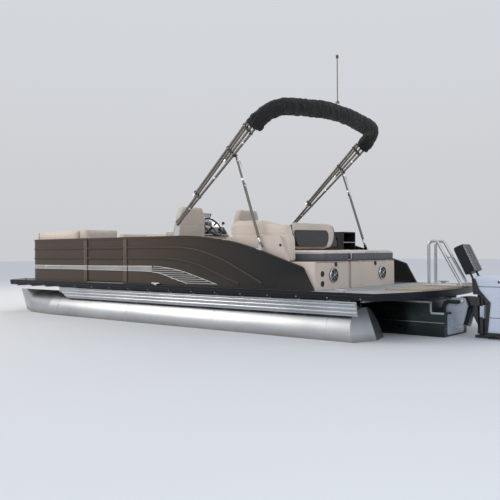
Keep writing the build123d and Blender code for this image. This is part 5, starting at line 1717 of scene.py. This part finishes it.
def makeMotor():
    cowl, cowlSide = nodes["motor_cowl"].data, motorSettings["cowlSide"]
    build("cowlSeams", "railDark",
          *((tube, thin(line, 0.006), 0.0032, 6, True) for z in motorSettings["cowlSeams"]
            for line in sections(cowl, *level(z))), body="motor")
    panels, vents, frame, bracket, mounts, lower = [], [], [], [], [], []
    for x, z in ((-1.152 + 0.006 * k, 0.590 + 0.011 * k) for k in range(5)):
        vents.append((box, overWater(x, -0.09, z), overWater(x + 0.034, 0.09, z + 0.0055), 0.001))
    axleS, axleZ = motorSettings["tiltAxle"]
    for side in sides:
        out = (0, side, 0)
        outline = roundCorners(motorSettings["sidePanel"], 0.04)
        panels.append((tube, [overWater(s, side * (cowlSide - 0.001), z) for s, z in outline],
                       0.0030, 6, True))
        vents += [(plate, [(x, 0.598), (x + 0.020, 0.598), (x + 0.028, 0.622), (x + 0.008, 0.622)],
                   (0, side * cowlSide, 0), ahead, upward, -side * 0.002)
                  for x in (at(-0.86 - 0.030 * k) for k in range(6))]

        y = side * motorSettings["frameSide"]
        rim = roundCorners(motorSettings["frame"], 0.008)
        frame.append((tube, [overWater(s, y + side * 0.001, z) for s, z in rim], 0.0035, 6, True))
        frame += [(bolt, overWater(s, y, z), out, 0.010, 0.006)
                  for s, z in motorSettings["frameBolts"]]
        y += side * 0.001
        frame += [(box, overWater(-0.722, y - 0.003, z), overWater(-0.682, y + 0.003, z + 0.012),
                   0.0018) for z in (0.13, 0.185, 0.24, 0.295)]

        y = side * motorSettings["bracketSide"]
        bracket += [(bolt, overWater(s, y, z), out, 0.011, 0.008)
                    for s, z in motorSettings["bracketBolts"]]
        bracket.append((lathe, overWater(axleS, side * 0.147, axleZ), out,
                        ((0.024, 0), (0.024, 0.010), (0.018, 0.014), (0, 0.014)), 6))
        bracket += [(lathe, overWater(-0.345, y + side * 0.0002, z), out,
                     ((0.008, 0), (0.008, 0.002), (0.005, 0.003), (0, 0.001)), 14)
                    for z in (0.105, 0.145, 0.185)]

        y = side * 0.112
        mounts.append((box, overWater(-0.680, y - 0.018, 0.215),
                       overWater(-0.640, y + 0.018, 0.360), 0.012))
        y = side * 0.085
        mounts.append((box, overWater(-0.655, y - 0.022, 0.225),
                       overWater(-0.600, y + 0.022, 0.345), 0.010))
        y = side * 0.038
        lower.append((box, overWater(-0.800, y - 0.002, -0.215),
                      overWater(-0.700, y + 0.003, -0.120), 0.002))
        y = side * 0.0215
        lower += [(box, overWater(-0.660, y - 0.002, z), overWater(-0.630, y + 0.0025, z + 0.010),
                   0.001) for z in (-0.430, -0.412, -0.394, -0.376)]
        lower.append((bolt, overWater(-0.70, side * 0.0905, 0), out, 0.010, 0.006))
    build("cowlSidePanels", "cowl", *panels, body="motor")
    build("cowlVents", "black", *vents, body="motor")
    build("midsectionTrim", "black", *frame, body="motor")
    build("bracketBolts", "steel", *bracket)
    build("swivelMounts", "cowl", *mounts, body="motor")
    build("tiltCylinder", "black",
          (tube, [overWater(-0.395, 0, 0.125), overWater(-0.465, 0, 0.335)], 0.030, 20))
    build("tiltRod", "chrome",
          (tube, [overWater(-0.462, 0, 0.33), overWater(-0.472, 0, 0.352)], 0.013, 14))
    build("tiltAxleSleeve", "steel",
          (tube, [overWater(axleS, y, axleZ) for y in (-0.128, 0.128)], 0.0172, 18),
          *((lathe, overWater(axleS, y, axleZ), toPort, ((0.022, 0), (0.022, 0.012)), 20)
            for y in (-0.106, 0.094)))
    build("gearcaseTrim", "railDark", *lower, body="motor")
    build("anode", "steel",
          (box, overWater(-0.900, -0.020, -0.316), overWater(-0.840, 0.020, -0.297), 0.005),
          body="motor")
    build("propellerNut", "steel",
          (lathe, overWater(-0.904, 0, -0.478), astern,
           ((0.030, 0), (0.026, 0.006), (0.018, 0.008)), 24),
          (lathe, overWater(-0.911, 0, -0.478), astern,
           ((0.016, 0), (0.016, 0.012), (0.008, 0.016), (0, 0.018)), 6), body="propeller")


makeMotor()
print("stage: outboard")


# Deck fittings

def makeDeckTrim():
    build("railGroove", "railDark",
          *((box, spot(0.01, y - 0.002, -0.032), spot(6.79, y + 0.0012, -0.027), 0.001)
            for y in (1.2958, -1.2958)))
    build("gateTread", "steel",
          *((box, spot(4.03, y, 0.0002), spot(4.77, y + 0.005, 0.0022), 0.0005)
            for y in (1.06 + 0.014 * k for k in range(7))))
    build("cleatScrews", "steel",
          *((bolt, spot(s + ds, side * y, 0.0218), upward, 0.005)
            for s, y in ((0.42, 1.24), (6.56, 1.18), (3.30, 1.25))
            for side in sides for ds in (-0.018, 0.018)))
    ring = []
    for quarter, (x, y) in enumerate(((0.27, 0.19), (-0.27, 0.19), (-0.27, -0.19), (0.27, -0.19))):
        for a in (math.radians(90 * quarter + 15 * k) for k in range(7)):
            ring.append(spot(2.75 + x + 0.04 * math.cos(a), y + 0.04 * math.sin(a), 0.0015))
    build("deckHatchEdge", "steel", (tube, ring, 0.0035, 6, True))
    build("loungeSpeakers", "black",
          *((lathe, spot(s, side * 0.578, 0.20), (0, -side, 0), ((0.045, 0), (0.045, 0.003),
                                                                 (0.040, 0.005), (0.037, 0.002),
                                                                 (0, 0.0015)), 32)
            for side in sides for s in (5.25, 5.95)))
    build("loungeVents", "beigeDark",
          *((box, spot(s - 0.085, y - 0.003, 0.06), spot(s + 0.085, y + 0.003, 0.27), 0.003)
            for y in (0.5795, -0.5795) for s in (5.10, 5.68)))


makeDeckTrim()
print("stage: deck")
